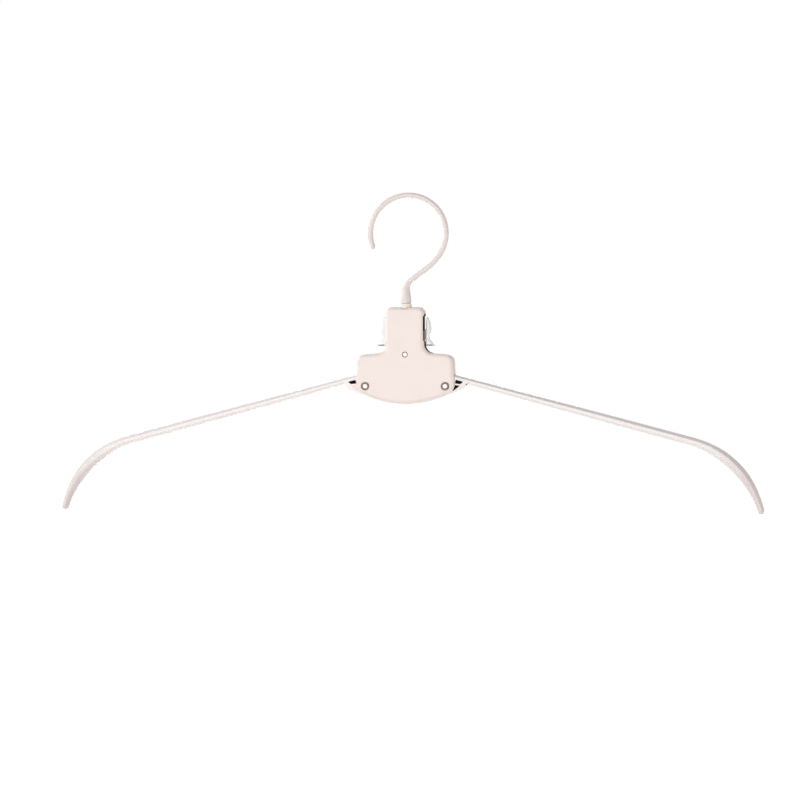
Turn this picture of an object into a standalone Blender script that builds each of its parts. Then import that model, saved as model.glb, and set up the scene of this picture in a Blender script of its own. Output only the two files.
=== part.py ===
"""Folding clothes hanger: squeezing the two finger tabs folds both arms down.

Metres, +Z up. X runs along the arms, -Y is the front. The origin is the point of the
hook's inner surface that rests on the rod, straight above the hook's turning axis.
"""

import math

import bmesh
import bpy
from mathutils import Matrix, Vector

# Fits between neighbouring pieces, and how far a cutter passes a face
CLEARANCE = 0.0003
OVERCUT = 0.0010

# Hook
HOOK_INNER_RADIUS = 0.02055
HOOK_OFFSET = 0.0014
HOOK_WIRE_RADIUS = 0.00155
HOOK_TIP_ANGLE = math.radians(200.0)
HOOK_WIDE_BEND_ANGLE = math.radians(-30.0)
HOOK_WIDE_BEND_RADIUS = 0.030
HOOK_SLOPE = math.radians(54.0)
HOOK_FOOT_BEND_RADIUS = 0.009
STEM_LENGTH = 0.0068
STEM_RADIUS = 0.00305
STEM_PLAIN_LENGTH = 0.0022
STEM_TAPER_LENGTH = 0.0112
SHANK_RADIUS = 0.0019

# Swivel bush and the ring that holds the shank in it
COLLAR_RADIUS = 0.0033
COLLAR_RISE = 0.0019
COLLAR_SEAT_DEPTH = 0.0013
BUSH_BODY_RADIUS = 0.0027
SWIVEL_BLOCK_HEIGHT = 0.0031
SWIVEL_BLOCK_WALL = 0.0010
BUSH_FLANGE_THICKNESS = 0.0010
SHANK_RING_MARGIN = 0.0003
SHANK_RING_THICKNESS = 0.0008
SHANK_END = 0.0010

# Casing
CASING_DEPTH = 0.0120
PLATE = 0.0020
WALL = 0.0020
EDGE_RADIUS = 0.0023
NECK_HALF_WIDTH = 0.0111
NECK_CORNER_RADIUS = 0.0035
NECK_LENGTH = 0.0262
NECK_FILLET_RADIUS = 0.0053
SHOULDER_SLOPE = math.radians(5.0)
SHOULDER_CORNER_RADIUS = 0.0045
BODY_SIDE_MARGIN = 0.0056
BODY_SIDE_LEAN = 0.0010
BELLY_CORNER_RADIUS = 0.0055
BELLY_CORNER_DROP = 0.0023
BELLY_RADIUS = 0.055
BELLY_ARC_MARGIN = 0.0017

# Pivots of the levers and the arms
CENTRE_PIN_DROP = 0.0012
ARM_PIVOT_X = 0.0233
ARM_PIVOT_DROP = 0.0183
ARM_PIN_RADIUS = 0.0014
CENTRE_PIN_RADIUS = 0.0013
PIN_HEAD_RADIUS = 0.0026
PIN_HEAD_THICKNESS = 0.0009
PIN_RING_RADIUS = 0.0022
PIN_RING_THICKNESS = 0.0006
PIN_RECESS = 0.0001
CENTRE_PIN_RECESS = 0.0004
PIN_CHAMFER = 0.00025

# Openings of the casing's rim for the levers and the arms
LEVER_SLOT_ABOVE = 0.0019
LEVER_SLOT_BELOW = 0.0008
SLOT_RELIEF = 0.0007
ARM_OPENING_BACK = 0.0060
ARM_SWING_ROOM = 0.0031

# Arms, seen from their pivots: along is down the slope, rise is square to it
ARM_SLOPE = math.radians(15.0)
ARM_RISE = 0.0060
ARM_STRAIGHT_LENGTH = 0.1435
ARM_BEND_RADIUS = 0.057
ARM_BEND_ANGLE = math.radians(59.0)
ARM_ROOT_HEIGHT = 0.0034
ARM_MIDDLE_HEIGHT = 0.0047
ARM_SHOULDER_HEIGHT = 0.0062
ARM_TIP_HEIGHT = 0.0040
ARM_ROOT_DEPTH = 0.0072
ARM_SHOULDER_DEPTH = 0.0094
ARM_TIP_DEPTH = 0.0066
ARM_HUB_RADIUS = 0.0050
ARM_HUB_SIDE_GAP = 0.0004
ARM_FLARE_LENGTH = 0.0124
ARM_FLARE_KNEE = (0.0089, -0.0002)
ARM_FLARE_OVERLAP = 0.00034
ARM_FLARE_CHAMFER = 0.00135
ARM_WEB = 0.0012
ARM_UPPER_POCKET = ((0.0048, 0.0029), (0.0048, 0.0051), (0.0094, 0.0051), (0.0080, 0.0033))
ARM_LOWER_POCKET = ((0.0044, -0.0019), (0.0053, -0.0013), (0.0081, 0.0024), (0.0049, 0.0020))

# Shares of the straight part, and then of the bend, where the arm's section changes
HEIGHT_RISE_END = 0.83
DEPTH_RISE_START = 0.10
SWELL_END = 0.40
TAPER_START = 0.55
ARM_SQUARENESS = 2.7
ARM_TIP_BLUNTNESS = 1.3

# Gearing between an arm and its lever
GEAR_RATIO = 5.2
PINION_PITCH_ANGLE = math.radians(40.0)
PRESSURE_ANGLE = math.radians(28.0)
TOOTH_HEIGHT_SHARE = 0.80
TOOTH_DEPTH_SHARE = 1.08
BACKLASH = 0.00012
ARM_TEETH = (-0.5, 0.5, 1.5, 2.5)
LEVER_TEETH = (-3, -2, -1, 0, 1)
SECTOR_END_SPACE = 0.6
SECTOR_SPREAD = math.radians(20.0)

# Levers and finger tabs
LEVER_THICKNESS = 0.0020
LEVER_HUB_RADIUS = 0.0046
LEVER_HUB_OVERLAP = 0.00015
LEVER_BRANCH_ANGLES = (math.radians(150.0), math.radians(-20.0))
LEVER_BRANCH_OVERLAP = 0.0005
LEVER_BRANCH_DROP = 0.0062
LEVER_BRANCH_RISE = 0.0056
TAB_TOP_DROP = 0.0057
TAB_HEIGHT = 0.0168
TAB_HALF_DEPTH = 0.0035
TAB_GAP = 0.0006
TAB_TOP = 0.0014
TAB_SHOULDER = 0.0028
TAB_CROWN = 0.0034
TAB_WAIST = 0.0024
TAB_FLARE = 0.0041
TAB_LIP = 0.0058
TAB_LEVELS = (0.0, 0.17, 0.48, 0.70, 0.87, 1.0)

# Spring and its sleeve
SLEEVE_RADIUS = 0.0027
SPRING_WIRE_RADIUS = 0.0003
SPRING_TURNS = 2
SPRING_PITCH = 0.00092
SPRING_LEG_REACH = 0.0080
SPRING_LEG_HEIGHT = 0.0123
SPRING_LEG_END = 0.0014
SPRING_PEG_RADIUS = 0.0008
SPRING_PEG_END = 0.0004

# Cover screws
SCREW_HEAD_RADIUS = 0.0018
SCREW_HEAD_THICKNESS = 0.0009
SCREW_RADIUS = 0.0009
SCREW_BOSS_RADIUS = 0.0024
SCREW_POINT = 0.0006
SCREW_POINT_RADIUS = 0.00036
SCREW_CHAMFER = 0.00035
UPPER_SCREW_RISE = 0.0145
LOWER_SCREW_DROP = 0.0193

# Places that follow from the sizes
HALF_DEPTH = CASING_DEPTH / 2
CAVITY = HALF_DEPTH - PLATE
BUSH_FLANGE_RADIUS = CAVITY - CLEARANCE
SHANK_RING_RADIUS = BUSH_FLANGE_RADIUS - SHANK_RING_MARGIN
HOOK_RADIUS = HOOK_INNER_RADIUS + HOOK_WIRE_RADIUS
LOOP_CENTRE = Vector((HOOK_OFFSET, -math.sqrt(HOOK_INNER_RADIUS**2 - HOOK_OFFSET**2)))


def polar(centre, radius, angle):
    """Point at a radius and an angle round a centre, in the X-Z plane."""
    return Vector((centre[0] + radius * math.cos(angle), centre[1] + radius * math.sin(angle)))


WIDE_BEND_CENTRE = polar(LOOP_CENTRE, HOOK_RADIUS - HOOK_WIDE_BEND_RADIUS, HOOK_WIDE_BEND_ANGLE)
WIDE_BEND_END = polar(WIDE_BEND_CENTRE, HOOK_WIDE_BEND_RADIUS, -HOOK_SLOPE)
FOOT_BEND_X = HOOK_FOOT_BEND_RADIUS * (1 - math.cos(HOOK_SLOPE))
SLOPE_LENGTH = (WIDE_BEND_END.x - FOOT_BEND_X) / math.sin(HOOK_SLOPE)
FOOT_BEND_START = WIDE_BEND_END - SLOPE_LENGTH * Vector((math.sin(HOOK_SLOPE), math.cos(HOOK_SLOPE)))
FOOT_BEND_CENTRE = polar(FOOT_BEND_START, HOOK_FOOT_BEND_RADIUS, -HOOK_SLOPE)
STEM_TOP_Z = FOOT_BEND_CENTRE.y
STEM_FOOT_Z = STEM_TOP_Z - STEM_LENGTH
COLLAR_TOP_Z = STEM_FOOT_Z - CLEARANCE
NECK_TOP_Z = COLLAR_TOP_Z - COLLAR_RISE
COLLAR_SEAT_Z = NECK_TOP_Z - COLLAR_SEAT_DEPTH
BLOCK_FOOT_Z = COLLAR_SEAT_Z - SWIVEL_BLOCK_HEIGHT
BUSH_FLANGE_Z = BLOCK_FOOT_Z - CLEARANCE
BUSH_FOOT_Z = BUSH_FLANGE_Z - BUSH_FLANGE_THICKNESS
SHANK_RING_Z = BUSH_FOOT_Z - CLEARANCE
SHANK_FOOT_Z = SHANK_RING_Z - SHANK_RING_THICKNESS - SHANK_END
BLOCK_HALF_WIDTH = COLLAR_RADIUS + CLEARANCE + SWIVEL_BLOCK_WALL

SHOULDER_Z = NECK_TOP_Z - NECK_LENGTH
CENTRE_PIN = Vector((0.0, SHOULDER_Z - CENTRE_PIN_DROP))
ARM_PIVOT = Vector((ARM_PIVOT_X, CENTRE_PIN.y - ARM_PIVOT_DROP))
BODY_HALF_WIDTH = ARM_PIVOT_X + BODY_SIDE_MARGIN
BELLY_CORNER_Z = ARM_PIVOT.y - BELLY_CORNER_DROP
BELLY_TILT = math.asin((ARM_PIVOT_X + BELLY_ARC_MARGIN) / BELLY_RADIUS)
BELLY_POINT_Z = BELLY_CORNER_Z - BODY_HALF_WIDTH * math.tan(BELLY_TILT)
BELLY_Z = BELLY_POINT_Z + BELLY_RADIUS / math.cos(BELLY_TILT) - BELLY_RADIUS

TO_ARM = ARM_PIVOT - CENTRE_PIN
PIVOT_DISTANCE = TO_ARM.length
TO_ARM_ANGLE = math.atan2(TO_ARM.y, TO_ARM.x)
PINION_RADIUS = PIVOT_DISTANCE / (1 + GEAR_RATIO)
SECTOR_RADIUS = PIVOT_DISTANCE - PINION_RADIUS
GEAR_MODULE = PINION_PITCH_ANGLE * PINION_RADIUS / math.pi
LEVER_PITCH_ANGLE = PINION_PITCH_ANGLE / GEAR_RATIO
SECTOR_ROOT = SECTOR_RADIUS - TOOTH_DEPTH_SHARE * GEAR_MODULE
PINION_TIP = PINION_RADIUS + TOOTH_HEIGHT_SHARE * GEAR_MODULE

ALONG = Vector((math.cos(ARM_SLOPE), -math.sin(ARM_SLOPE)))
RISE = Vector((math.sin(ARM_SLOPE), math.cos(ARM_SLOPE)))
HUB_HALF_DEPTH = CAVITY - ARM_HUB_SIDE_GAP
LEVER_OUTER_Y = CAVITY - CLEARANCE
LEVER_INNER_Y = LEVER_OUTER_Y - LEVER_THICKNESS
PIN_HOLE_RADIUS = ARM_PIN_RADIUS + CLEARANCE
CENTRE_HOLE_RADIUS = CENTRE_PIN_RADIUS + CLEARANCE
RING_SEAT_Y = HALF_DEPTH - PIN_RECESS - PIN_RING_THICKNESS - CLEARANCE
HEAD_SEAT_Y = HALF_DEPTH - PIN_RECESS - PIN_HEAD_THICKNESS - CLEARANCE
SCREW_SEAT_Y = HALF_DEPTH - PIN_RECESS - SCREW_HEAD_THICKNESS - CLEARANCE
TAB_TOP_Z = NECK_TOP_Z - TAB_TOP_DROP
TAB_FOOT_Z = TAB_TOP_Z - TAB_HEIGHT
TAB_INNER_X = NECK_HALF_WIDTH + TAB_GAP
UPPER_SCREW = CENTRE_PIN + Vector((0.0, UPPER_SCREW_RISE))
LOWER_SCREW = CENTRE_PIN - Vector((0.0, LOWER_SCREW_DROP))
NO_TURN = Matrix.Identity(4)
HALF_TURN = Matrix.Rotation(math.pi, 4, "Z")

# Facets round and along the pieces
ROUND_SIDES = 24
HOOK_SIDES = 12
LOOP_STEPS = 30
BEND_STEPS = 5
STEM_STEPS = 5
SPRING_SIDES = 6
SPRING_TURN_STEPS = 18
ARM_SIDES = 16
ARM_STRAIGHT_STEPS = 6
ARM_BEND_STEPS = 14
CORNER_STEPS = 6
BELLY_STEPS = 20
EDGE_STEPS = 4
FLANK_STEPS = 5
HUB_STEPS = 14
TAB_STEPS = 3
TIP_ROUNDING = (25.0, 50.0, 75.0)
SHARP_ANGLE = math.radians(35.0)

# Colours
CREAM = (0.90, 0.79, 0.73)
IVORY = (0.91, 0.83, 0.76)
NATURAL = (0.85, 0.84, 0.80)
SPRING_STEEL = (0.46, 0.46, 0.47)
DARK_STEEL = (0.13, 0.12, 0.12)
BRIGHT_STEEL = (0.72, 0.71, 0.69)


def clear_scene():
    for item in list(bpy.data.objects):
        bpy.data.objects.remove(item, do_unlink=True)


def material(name, colour, roughness, metallic=0.0):
    made = bpy.data.materials.new(name)
    made.use_nodes = True
    shader = made.node_tree.nodes["Principled BSDF"]
    shader.inputs["Base Color"].default_value = (*colour, 1.0)
    shader.inputs["Roughness"].default_value = roughness
    shader.inputs["Metallic"].default_value = metallic
    return made


def at(point, y):
    """A point of the X-Z plane, set at a depth."""
    return Vector((point[0], y, point[1]))


def shade(mesh):
    """Smooth shading where the faces meet at a low angle."""
    mesh.shade_smooth()
    mesh.set_sharp_from_angle(angle=SHARP_ANGLE)


def add_object(name, bm, finish=None):
    """Mesh object from a bmesh, its faces outward."""
    bmesh.ops.recalc_face_normals(bm, faces=bm.faces[:])
    mesh = bpy.data.meshes.new(name)
    bm.to_mesh(mesh)
    bm.free()
    shade(mesh)
    made = bpy.data.objects.new(name, mesh)
    bpy.context.collection.objects.link(made)
    if finish:
        mesh.materials.append(finish)
    return made


def loft(rings, closed=False):
    """Skin over rings of points. The ends are capped, or joined where the skin is closed."""
    bm = bmesh.new()
    rows = [[bm.verts.new(point) for point in ring] for ring in rings]
    pairs = list(zip(rows, rows[1:]))
    if closed:
        pairs.append((rows[-1], rows[0]))
    else:
        bm.faces.new(rows[0])
        bm.faces.new(rows[-1])
    for first, second in pairs:
        for i in range(len(first)):
            j = (i + 1) % len(first)
            bm.faces.new((first[i], first[j], second[j], second[i]))
    return bm


def prism(name, outline, near_y, far_y, finish=None):
    """Plate with an X-Z outline between two depths."""
    rings = [[at(point, y) for point in outline] for y in (near_y, far_y)]
    return add_object(name, loft(rings), finish)


def turned(name, stations, centre, axis, finish=None, hollow=False, sides=ROUND_SIDES):
    """Round piece from (place along the axis, radius) stations. A hollow one returns along its bore."""
    rings = []
    for place, radius in stations:
        ring = []
        for k in range(sides):
            angle = 2 * math.pi * (k + 0.5) / sides
            across, up = radius * math.cos(angle), radius * math.sin(angle)
            if axis == "Y":
                ring.append(Vector((centre[0] + across, place, centre[1] + up)))
            else:
                ring.append(Vector((centre[0] + across, centre[1] + up, place)))
        rings.append(ring)
    return add_object(name, loft(rings, closed=hollow), finish)


def boolean(target, others, operation):
    """Join pieces to the target, or cut them from it, and take the pieces away."""
    for other in others:
        step = target.modifiers.new(operation, "BOOLEAN")
        step.operation = operation
        step.solver = "EXACT"
        step.object = other
        bpy.context.view_layer.update()
        shape = target.evaluated_get(bpy.context.evaluated_depsgraph_get())
        mesh = bpy.data.meshes.new_from_object(shape)
        target.modifiers.clear()
        target.data = mesh
        bpy.data.objects.remove(other, do_unlink=True)
    shade(target.data)
    return target


def cut(target, *cutters):
    return boolean(target, cutters, "DIFFERENCE")


def join(target, *pieces):
    return boolean(target, pieces, "UNION")


def cylinder(centre, radius, near_y, far_y):
    """Round cutter or boss along Y, centred on a point of the X-Z plane."""
    return turned("boss", [(near_y, radius), (far_y, radius)], centre, "Y")


def arc(centre, radius, start, end, steps):
    return [polar(centre, radius, start + (end - start) * k / steps) for k in range(steps + 1)]


def smooth(share):
    """Share from 0 to 1 that starts and ends gently."""
    share = min(max(share, 0.0), 1.0)
    return share * share * (3 - 2 * share)


def between(first, second, share):
    return first + (second - first) * share


def flow_through(points, steps):
    """Smooth curve through points, with a few steps between each two."""
    ends = [2 * points[0] - points[1]] + points + [2 * points[-1] - points[-2]]
    curve = []
    for before, start, end, after in zip(ends, ends[1:], ends[2:], ends[3:]):
        for k in range(steps):
            t = k / steps
            curve.append(
                start
                + (end - before) * (t / 2)
                + (2 * before - 5 * start + 4 * end - after) * (t * t / 2)
                + (3 * start - before - 3 * end + after) * (t**3 / 2)
            )
    return curve + [points[-1]]


def rounded(corners):
    """Outline of (point, radius, steps) corners as (place, outward direction) pairs, clockwise."""
    outline = []
    for index, (point, radius, steps) in enumerate(corners):
        before = (corners[index - 1][0] - point).normalized()
        after = (corners[(index + 1) % len(corners)][0] - point).normalized()
        half = before.angle(after) / 2
        centre = point + (before + after).normalized() * (radius / math.sin(half))
        start = point + before * (radius / math.tan(half)) - centre
        turn = math.pi - 2 * half
        convex = before.x * after.y - before.y * after.x > 0
        for k in range(steps + 1):
            angle = turn * k / steps
            arm = Matrix.Rotation(-angle if convex else angle, 2) @ start
            outward = arm.normalized() if convex else -arm.normalized()
            outline.append((centre + arm, outward))
    return outline


def sweep(name, stations, sides, finish, power=2.0):
    """Bar along (centre, across, deep, half height, half depth) stations, its section a squared oval."""
    rings = []
    for centre, across, deep, half_height, half_depth in stations:
        ring = []
        for k in range(sides):
            angle = 2 * math.pi * (k + 0.5) / sides
            c, s = math.cos(angle), math.sin(angle)
            up = math.copysign(abs(c) ** (2 / power), c) * half_height
            out = math.copysign(abs(s) ** (2 / power), s) * half_depth
            ring.append(centre + across * up + deep * out)
        rings.append(ring)
    return add_object(name, loft(rings), finish)


def casing_outline():
    """Outline of the casing from the top of the neck, clockwise as seen from the front."""
    side_top_x = BODY_HALF_WIDTH - BODY_SIDE_LEAN
    side_top_z = SHOULDER_Z - (side_top_x - NECK_HALF_WIDTH) * math.tan(SHOULDER_SLOPE)
    right = [
        (Vector((NECK_HALF_WIDTH, NECK_TOP_Z)), NECK_CORNER_RADIUS, CORNER_STEPS),
        (Vector((NECK_HALF_WIDTH, SHOULDER_Z)), NECK_FILLET_RADIUS, CORNER_STEPS),
        (Vector((side_top_x, side_top_z)), SHOULDER_CORNER_RADIUS, CORNER_STEPS),
        (Vector((BODY_HALF_WIDTH, BELLY_CORNER_Z)), BELLY_CORNER_RADIUS, CORNER_STEPS),
    ]
    left = [(Vector((-point.x, point.y)), radius, steps) for point, radius, steps in reversed(right)]
    return rounded(right + [(Vector((0.0, BELLY_POINT_Z)), BELLY_RADIUS, BELLY_STEPS)] + left)


def shell(name, side, finish):
    """Half of the casing: a plate with a rounded edge and a rim that ends at the parting plane."""
    outline = casing_outline()
    seam = CLEARANCE / 2
    sections = []
    for k in range(EDGE_STEPS, -1, -1):
        angle = math.pi / 2 * k / EDGE_STEPS
        inset = EDGE_RADIUS * (1 - math.cos(angle))
        sections.append((inset, HALF_DEPTH - EDGE_RADIUS * (1 - math.sin(angle))))
    sections += [(0.0, seam), (WALL, seam), (WALL, CAVITY)]
    rings = [
        [at(place - outward * inset, side * y) for place, outward in outline] for inset, y in sections
    ]
    return add_object(name, loft(rings), finish)


def lever_slot(side_x):
    """Opening of the rims beside the neck, round the fillet, for a lever."""
    inner = NECK_HALF_WIDTH - WALL - CLEARANCE
    outer = NECK_HALF_WIDTH + NECK_FILLET_RADIUS - CLEARANCE
    top = TAB_TOP_Z + LEVER_SLOT_ABOVE
    foot = SHOULDER_Z - WALL - LEVER_SLOT_BELOW
    points = [(inner, top), (outer, top), (outer, foot), (inner, foot)]
    return prism("slot", [Vector((side_x * x, z)) for x, z in points], -CAVITY, CAVITY)


def slot_relief(side_x):
    """Shallow cut through the whole edge of the neck along a lever's slot, for the finger tab."""
    inner = NECK_HALF_WIDTH - SLOT_RELIEF
    outer = NECK_HALF_WIDTH + OVERCUT
    ramp = SLOT_RELIEF + OVERCUT
    top = TAB_TOP_Z + LEVER_SLOT_ABOVE
    foot = SHOULDER_Z + NECK_FILLET_RADIUS
    points = [(outer, top), (outer, foot), (inner, foot + ramp), (inner, top - ramp)]
    beyond = HALF_DEPTH + OVERCUT
    return prism("relief", [Vector((side_x * x, z)) for x, z in points], -beyond, beyond)


def arm_opening(side_x):
    """Opening of the rims from the side of the body round its lower corner, where an arm swings."""
    top_rise = ARM_RISE + ARM_ROOT_HEIGHT / 2 + CLEARANCE
    past_side = (BODY_SIDE_MARGIN + OVERCUT) / ALONG.x
    inner = ARM_PIVOT - ARM_OPENING_BACK * ALONG + top_rise * RISE
    outer = ARM_PIVOT + past_side * ALONG + top_rise * RISE
    left = ARM_PIVOT_X - PINION_TIP - ARM_SWING_ROOM
    foot = BELLY_Z - OVERCUT
    points = [inner, outer, Vector((outer.x, foot)), Vector((left, foot)), Vector((left, inner.y))]
    return prism("opening", [Vector((side_x * p.x, p.y)) for p in points], -CAVITY, CAVITY)


def swivel_block(side):
    """Thick part of the neck's top that the swivel bush runs in."""
    right, top = BLOCK_HALF_WIDTH, NECK_TOP_Z - WALL / 2
    points = [(-right, BLOCK_FOOT_Z), (right, BLOCK_FOOT_Z), (right, top), (-right, top)]
    return prism("block", [Vector(p) for p in points], side * CLEARANCE / 2, side * (CAVITY + PLATE / 2))


def swivel_cutters():
    """Hole and seat of the swivel bush, and the dip of the neck's top round its collar."""
    hole = BUSH_BODY_RADIUS + CLEARANCE
    seat = COLLAR_RADIUS + CLEARANCE
    below, above = BLOCK_FOOT_Z - OVERCUT, NECK_TOP_Z + OVERCUT
    stations = [(below, hole), (COLLAR_SEAT_Z, hole), (COLLAR_SEAT_Z, seat), (above, seat)]
    bore = turned("bore", stations, (0.0, 0.0), "Z")
    dip_radius = (seat**2 + COLLAR_SEAT_DEPTH**2) / (2 * COLLAR_SEAT_DEPTH)
    beyond = HALF_DEPTH + OVERCUT
    return bore, cylinder((0.0, COLLAR_SEAT_Z + dip_radius), dip_radius, -beyond, beyond)


def make_cover(name, side, finish):
    cover = shell(name, side, finish)
    beyond = side * (HALF_DEPTH + OVERCUT)
    inside = side * CLEARANCE / 2
    plate_middle = side * (CAVITY + PLATE / 2)
    for side_x in (1, -1):
        cut(cover, lever_slot(side_x), slot_relief(side_x), arm_opening(side_x))
    join(cover, swivel_block(side))
    cut(cover, *swivel_cutters())
    for place in (UPPER_SCREW, LOWER_SCREW):
        join(cover, cylinder(place, SCREW_BOSS_RADIUS, inside, plate_middle))
    for place in (ARM_PIVOT, Vector((-ARM_PIVOT.x, ARM_PIVOT.y))):
        cut(cover, cylinder(place, PIN_HOLE_RADIUS, inside, beyond))
    cut(cover, cylinder(CENTRE_PIN, CENTRE_HOLE_RADIUS, inside, beyond))
    return cover


def make_front_cover(finish):
    cover = make_cover("front_cover", -1, finish)
    beyond = -HALF_DEPTH - OVERCUT
    for place in (ARM_PIVOT, Vector((-ARM_PIVOT.x, ARM_PIVOT.y))):
        cut(cover, cylinder(place, PIN_RING_RADIUS + CLEARANCE, -RING_SEAT_Y, beyond))
    for place in (UPPER_SCREW, LOWER_SCREW):
        cut(cover, cylinder(place, SCREW_RADIUS + CLEARANCE, -CAVITY - SCREW_POINT, 0.0))
    return cover


def make_back_cover(finish):
    cover = make_cover("back_cover", 1, finish)
    beyond = HALF_DEPTH + OVERCUT
    for place in (CENTRE_PIN, ARM_PIVOT, Vector((-ARM_PIVOT.x, ARM_PIVOT.y))):
        cut(cover, cylinder(place, PIN_HEAD_RADIUS + CLEARANCE, HEAD_SEAT_Y, beyond))
    for place in (UPPER_SCREW, LOWER_SCREW):
        cut(cover, cylinder(place, SCREW_RADIUS + CLEARANCE, 0.0, beyond))
        cut(cover, cylinder(place, SCREW_HEAD_RADIUS + CLEARANCE, SCREW_SEAT_Y, beyond))
    return cover


def hook_route():
    """Places down the middle of the hook's wire, from its tip to the foot of the stem."""
    route = arc(LOOP_CENTRE, HOOK_RADIUS, HOOK_TIP_ANGLE, HOOK_WIDE_BEND_ANGLE, LOOP_STEPS)
    route += arc(WIDE_BEND_CENTRE, HOOK_WIDE_BEND_RADIUS, HOOK_WIDE_BEND_ANGLE, -HOOK_SLOPE, BEND_STEPS)[1:]
    foot_start = math.pi - HOOK_SLOPE
    route.append((WIDE_BEND_END + FOOT_BEND_START) / 2)
    route += arc(FOOT_BEND_CENTRE, HOOK_FOOT_BEND_RADIUS, foot_start, math.pi, BEND_STEPS)
    for k in range(1, STEM_STEPS + 1):
        route.append(Vector((0.0, STEM_TOP_Z - STEM_LENGTH * k / STEM_STEPS)))
    return route


def make_hook(finish):
    """Hook with a rounded tip, a stem that widens, and the thin shank that turns in the bush."""
    route = hook_route()
    lengths = [(b - a).length for a, b in zip(route, route[1:])]
    total = sum(lengths)
    taper_end = total - STEM_PLAIN_LENGTH
    stations = []
    travelled = 0.0
    deep = Vector((0.0, 1.0, 0.0))
    for index, place in enumerate(route):
        before = route[max(index - 1, 0)]
        after = route[min(index + 1, len(route) - 1)]
        heading = (after - before).normalized()
        across = Vector((-heading.y, 0.0, heading.x))
        if index:
            travelled += lengths[index - 1]
        widening = smooth((travelled - taper_end + STEM_TAPER_LENGTH) / STEM_TAPER_LENGTH)
        radius = between(HOOK_WIRE_RADIUS, STEM_RADIUS, widening)
        stations.append((at(place, 0.0), across, deep, radius, radius))
    tip, across = stations[0][0], stations[0][1]
    backward = (stations[0][0] - stations[1][0]).normalized()
    rounding = []
    for angle in reversed(TIP_ROUNDING):
        turn = math.radians(angle)
        radius = HOOK_WIRE_RADIUS * math.cos(turn)
        centre = tip + backward * (HOOK_WIRE_RADIUS * math.sin(turn))
        rounding.append((centre, across, deep, radius, radius))
    foot_across = stations[-1][1]
    shank = []
    for z in (STEM_FOOT_Z, SHANK_FOOT_Z):
        shank.append((Vector((0.0, 0.0, z)), foot_across, deep, SHANK_RADIUS, SHANK_RADIUS))
    return sweep("hook", rounding + stations + shank, HOOK_SIDES, finish)


def make_hook_bush(finish):
    bore = SHANK_RADIUS + CLEARANCE
    collar_foot = COLLAR_SEAT_Z + CLEARANCE
    stations = [
        (COLLAR_TOP_Z, bore),
        (COLLAR_TOP_Z, COLLAR_RADIUS),
        (collar_foot, COLLAR_RADIUS),
        (collar_foot, BUSH_BODY_RADIUS),
        (BUSH_FLANGE_Z, BUSH_BODY_RADIUS),
        (BUSH_FLANGE_Z, BUSH_FLANGE_RADIUS),
        (BUSH_FOOT_Z, BUSH_FLANGE_RADIUS),
        (BUSH_FOOT_Z, bore),
    ]
    return turned("hook_bush", stations, (0.0, 0.0), "Z", finish, hollow=True)


def ring_stations(top, foot, bore, radius):
    return [(top, bore), (top, radius), (foot, radius), (foot, bore)]


def make_hook_retaining_ring(finish):
    foot = SHANK_RING_Z - SHANK_RING_THICKNESS
    stations = ring_stations(SHANK_RING_Z, foot, SHANK_RADIUS + CLEARANCE, SHANK_RING_RADIUS)
    return turned("hook_retaining_ring", stations, (0.0, 0.0), "Z", finish, hollow=True)


def involute(angle):
    return math.tan(angle) - angle


def tooth(pitch_radius, tip_radius, root_radius, tooth_angle):
    """Outline of one involute tooth as (angle from its middle, radius) pairs, in turning order."""
    base_radius = pitch_radius * math.cos(PRESSURE_ANGLE)
    half_at_pitch = tooth_angle / 4 - BACKLASH / 2 / pitch_radius
    lowest = max(base_radius, root_radius)
    flank = []
    for k in range(FLANK_STEPS + 1):
        radius = between(lowest, tip_radius, k / FLANK_STEPS)
        lean = involute(math.acos(min(base_radius / radius, 1.0)))
        flank.append((half_at_pitch + involute(PRESSURE_ANGLE) - lean, radius))
    if root_radius < lowest:
        flank.insert(0, (flank[0][0], root_radius))
    return [(-angle, radius) for angle, radius in flank] + list(reversed(flank))


def make_pinion():
    """Hub of the right arm: a disc whose teeth face the centre pin as the arm folds."""
    root_radius = PINION_RADIUS - TOOTH_DEPTH_SHARE * GEAR_MODULE
    shape = tooth(PINION_RADIUS, PINION_TIP, root_radius, PINION_PITCH_ANGLE)
    facing = TO_ARM_ANGLE + math.pi
    outline = []
    for place in ARM_TEETH:
        middle = facing + place * PINION_PITCH_ANGLE
        outline += [polar(ARM_PIVOT, radius, middle + angle) for angle, radius in shape]
    first = facing + (ARM_TEETH[0] - 0.5) * PINION_PITCH_ANGLE
    last = facing + (ARM_TEETH[-1] + 0.5) * PINION_PITCH_ANGLE
    outline.append(polar(ARM_PIVOT, root_radius, last))
    outline += arc(ARM_PIVOT, ARM_HUB_RADIUS, last, first + 2 * math.pi, HUB_STEPS)
    outline.append(polar(ARM_PIVOT, root_radius, first))
    return prism("pinion", outline, -HUB_HALF_DEPTH, HUB_HALF_DEPTH)


def arm_place(along, rise):
    """Point by its distances along and square to the right arm, from the arm's pivot."""
    return ARM_PIVOT + along * ALONG + rise * RISE


def flare_tip():
    """Where the lower edge of the flared root meets the underside of the bar."""
    return Vector((ARM_FLARE_LENGTH, ARM_RISE - ARM_ROOT_HEIGHT / 2 + ARM_FLARE_OVERLAP))


def flare_foot():
    """Where the lower edge of the flared root touches the hub."""
    knee = Vector(ARM_FLARE_KNEE)
    angle = math.atan2(knee.y, knee.x) - math.acos(ARM_HUB_RADIUS / knee.length)
    return polar((0.0, 0.0), ARM_HUB_RADIUS, angle)


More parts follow.
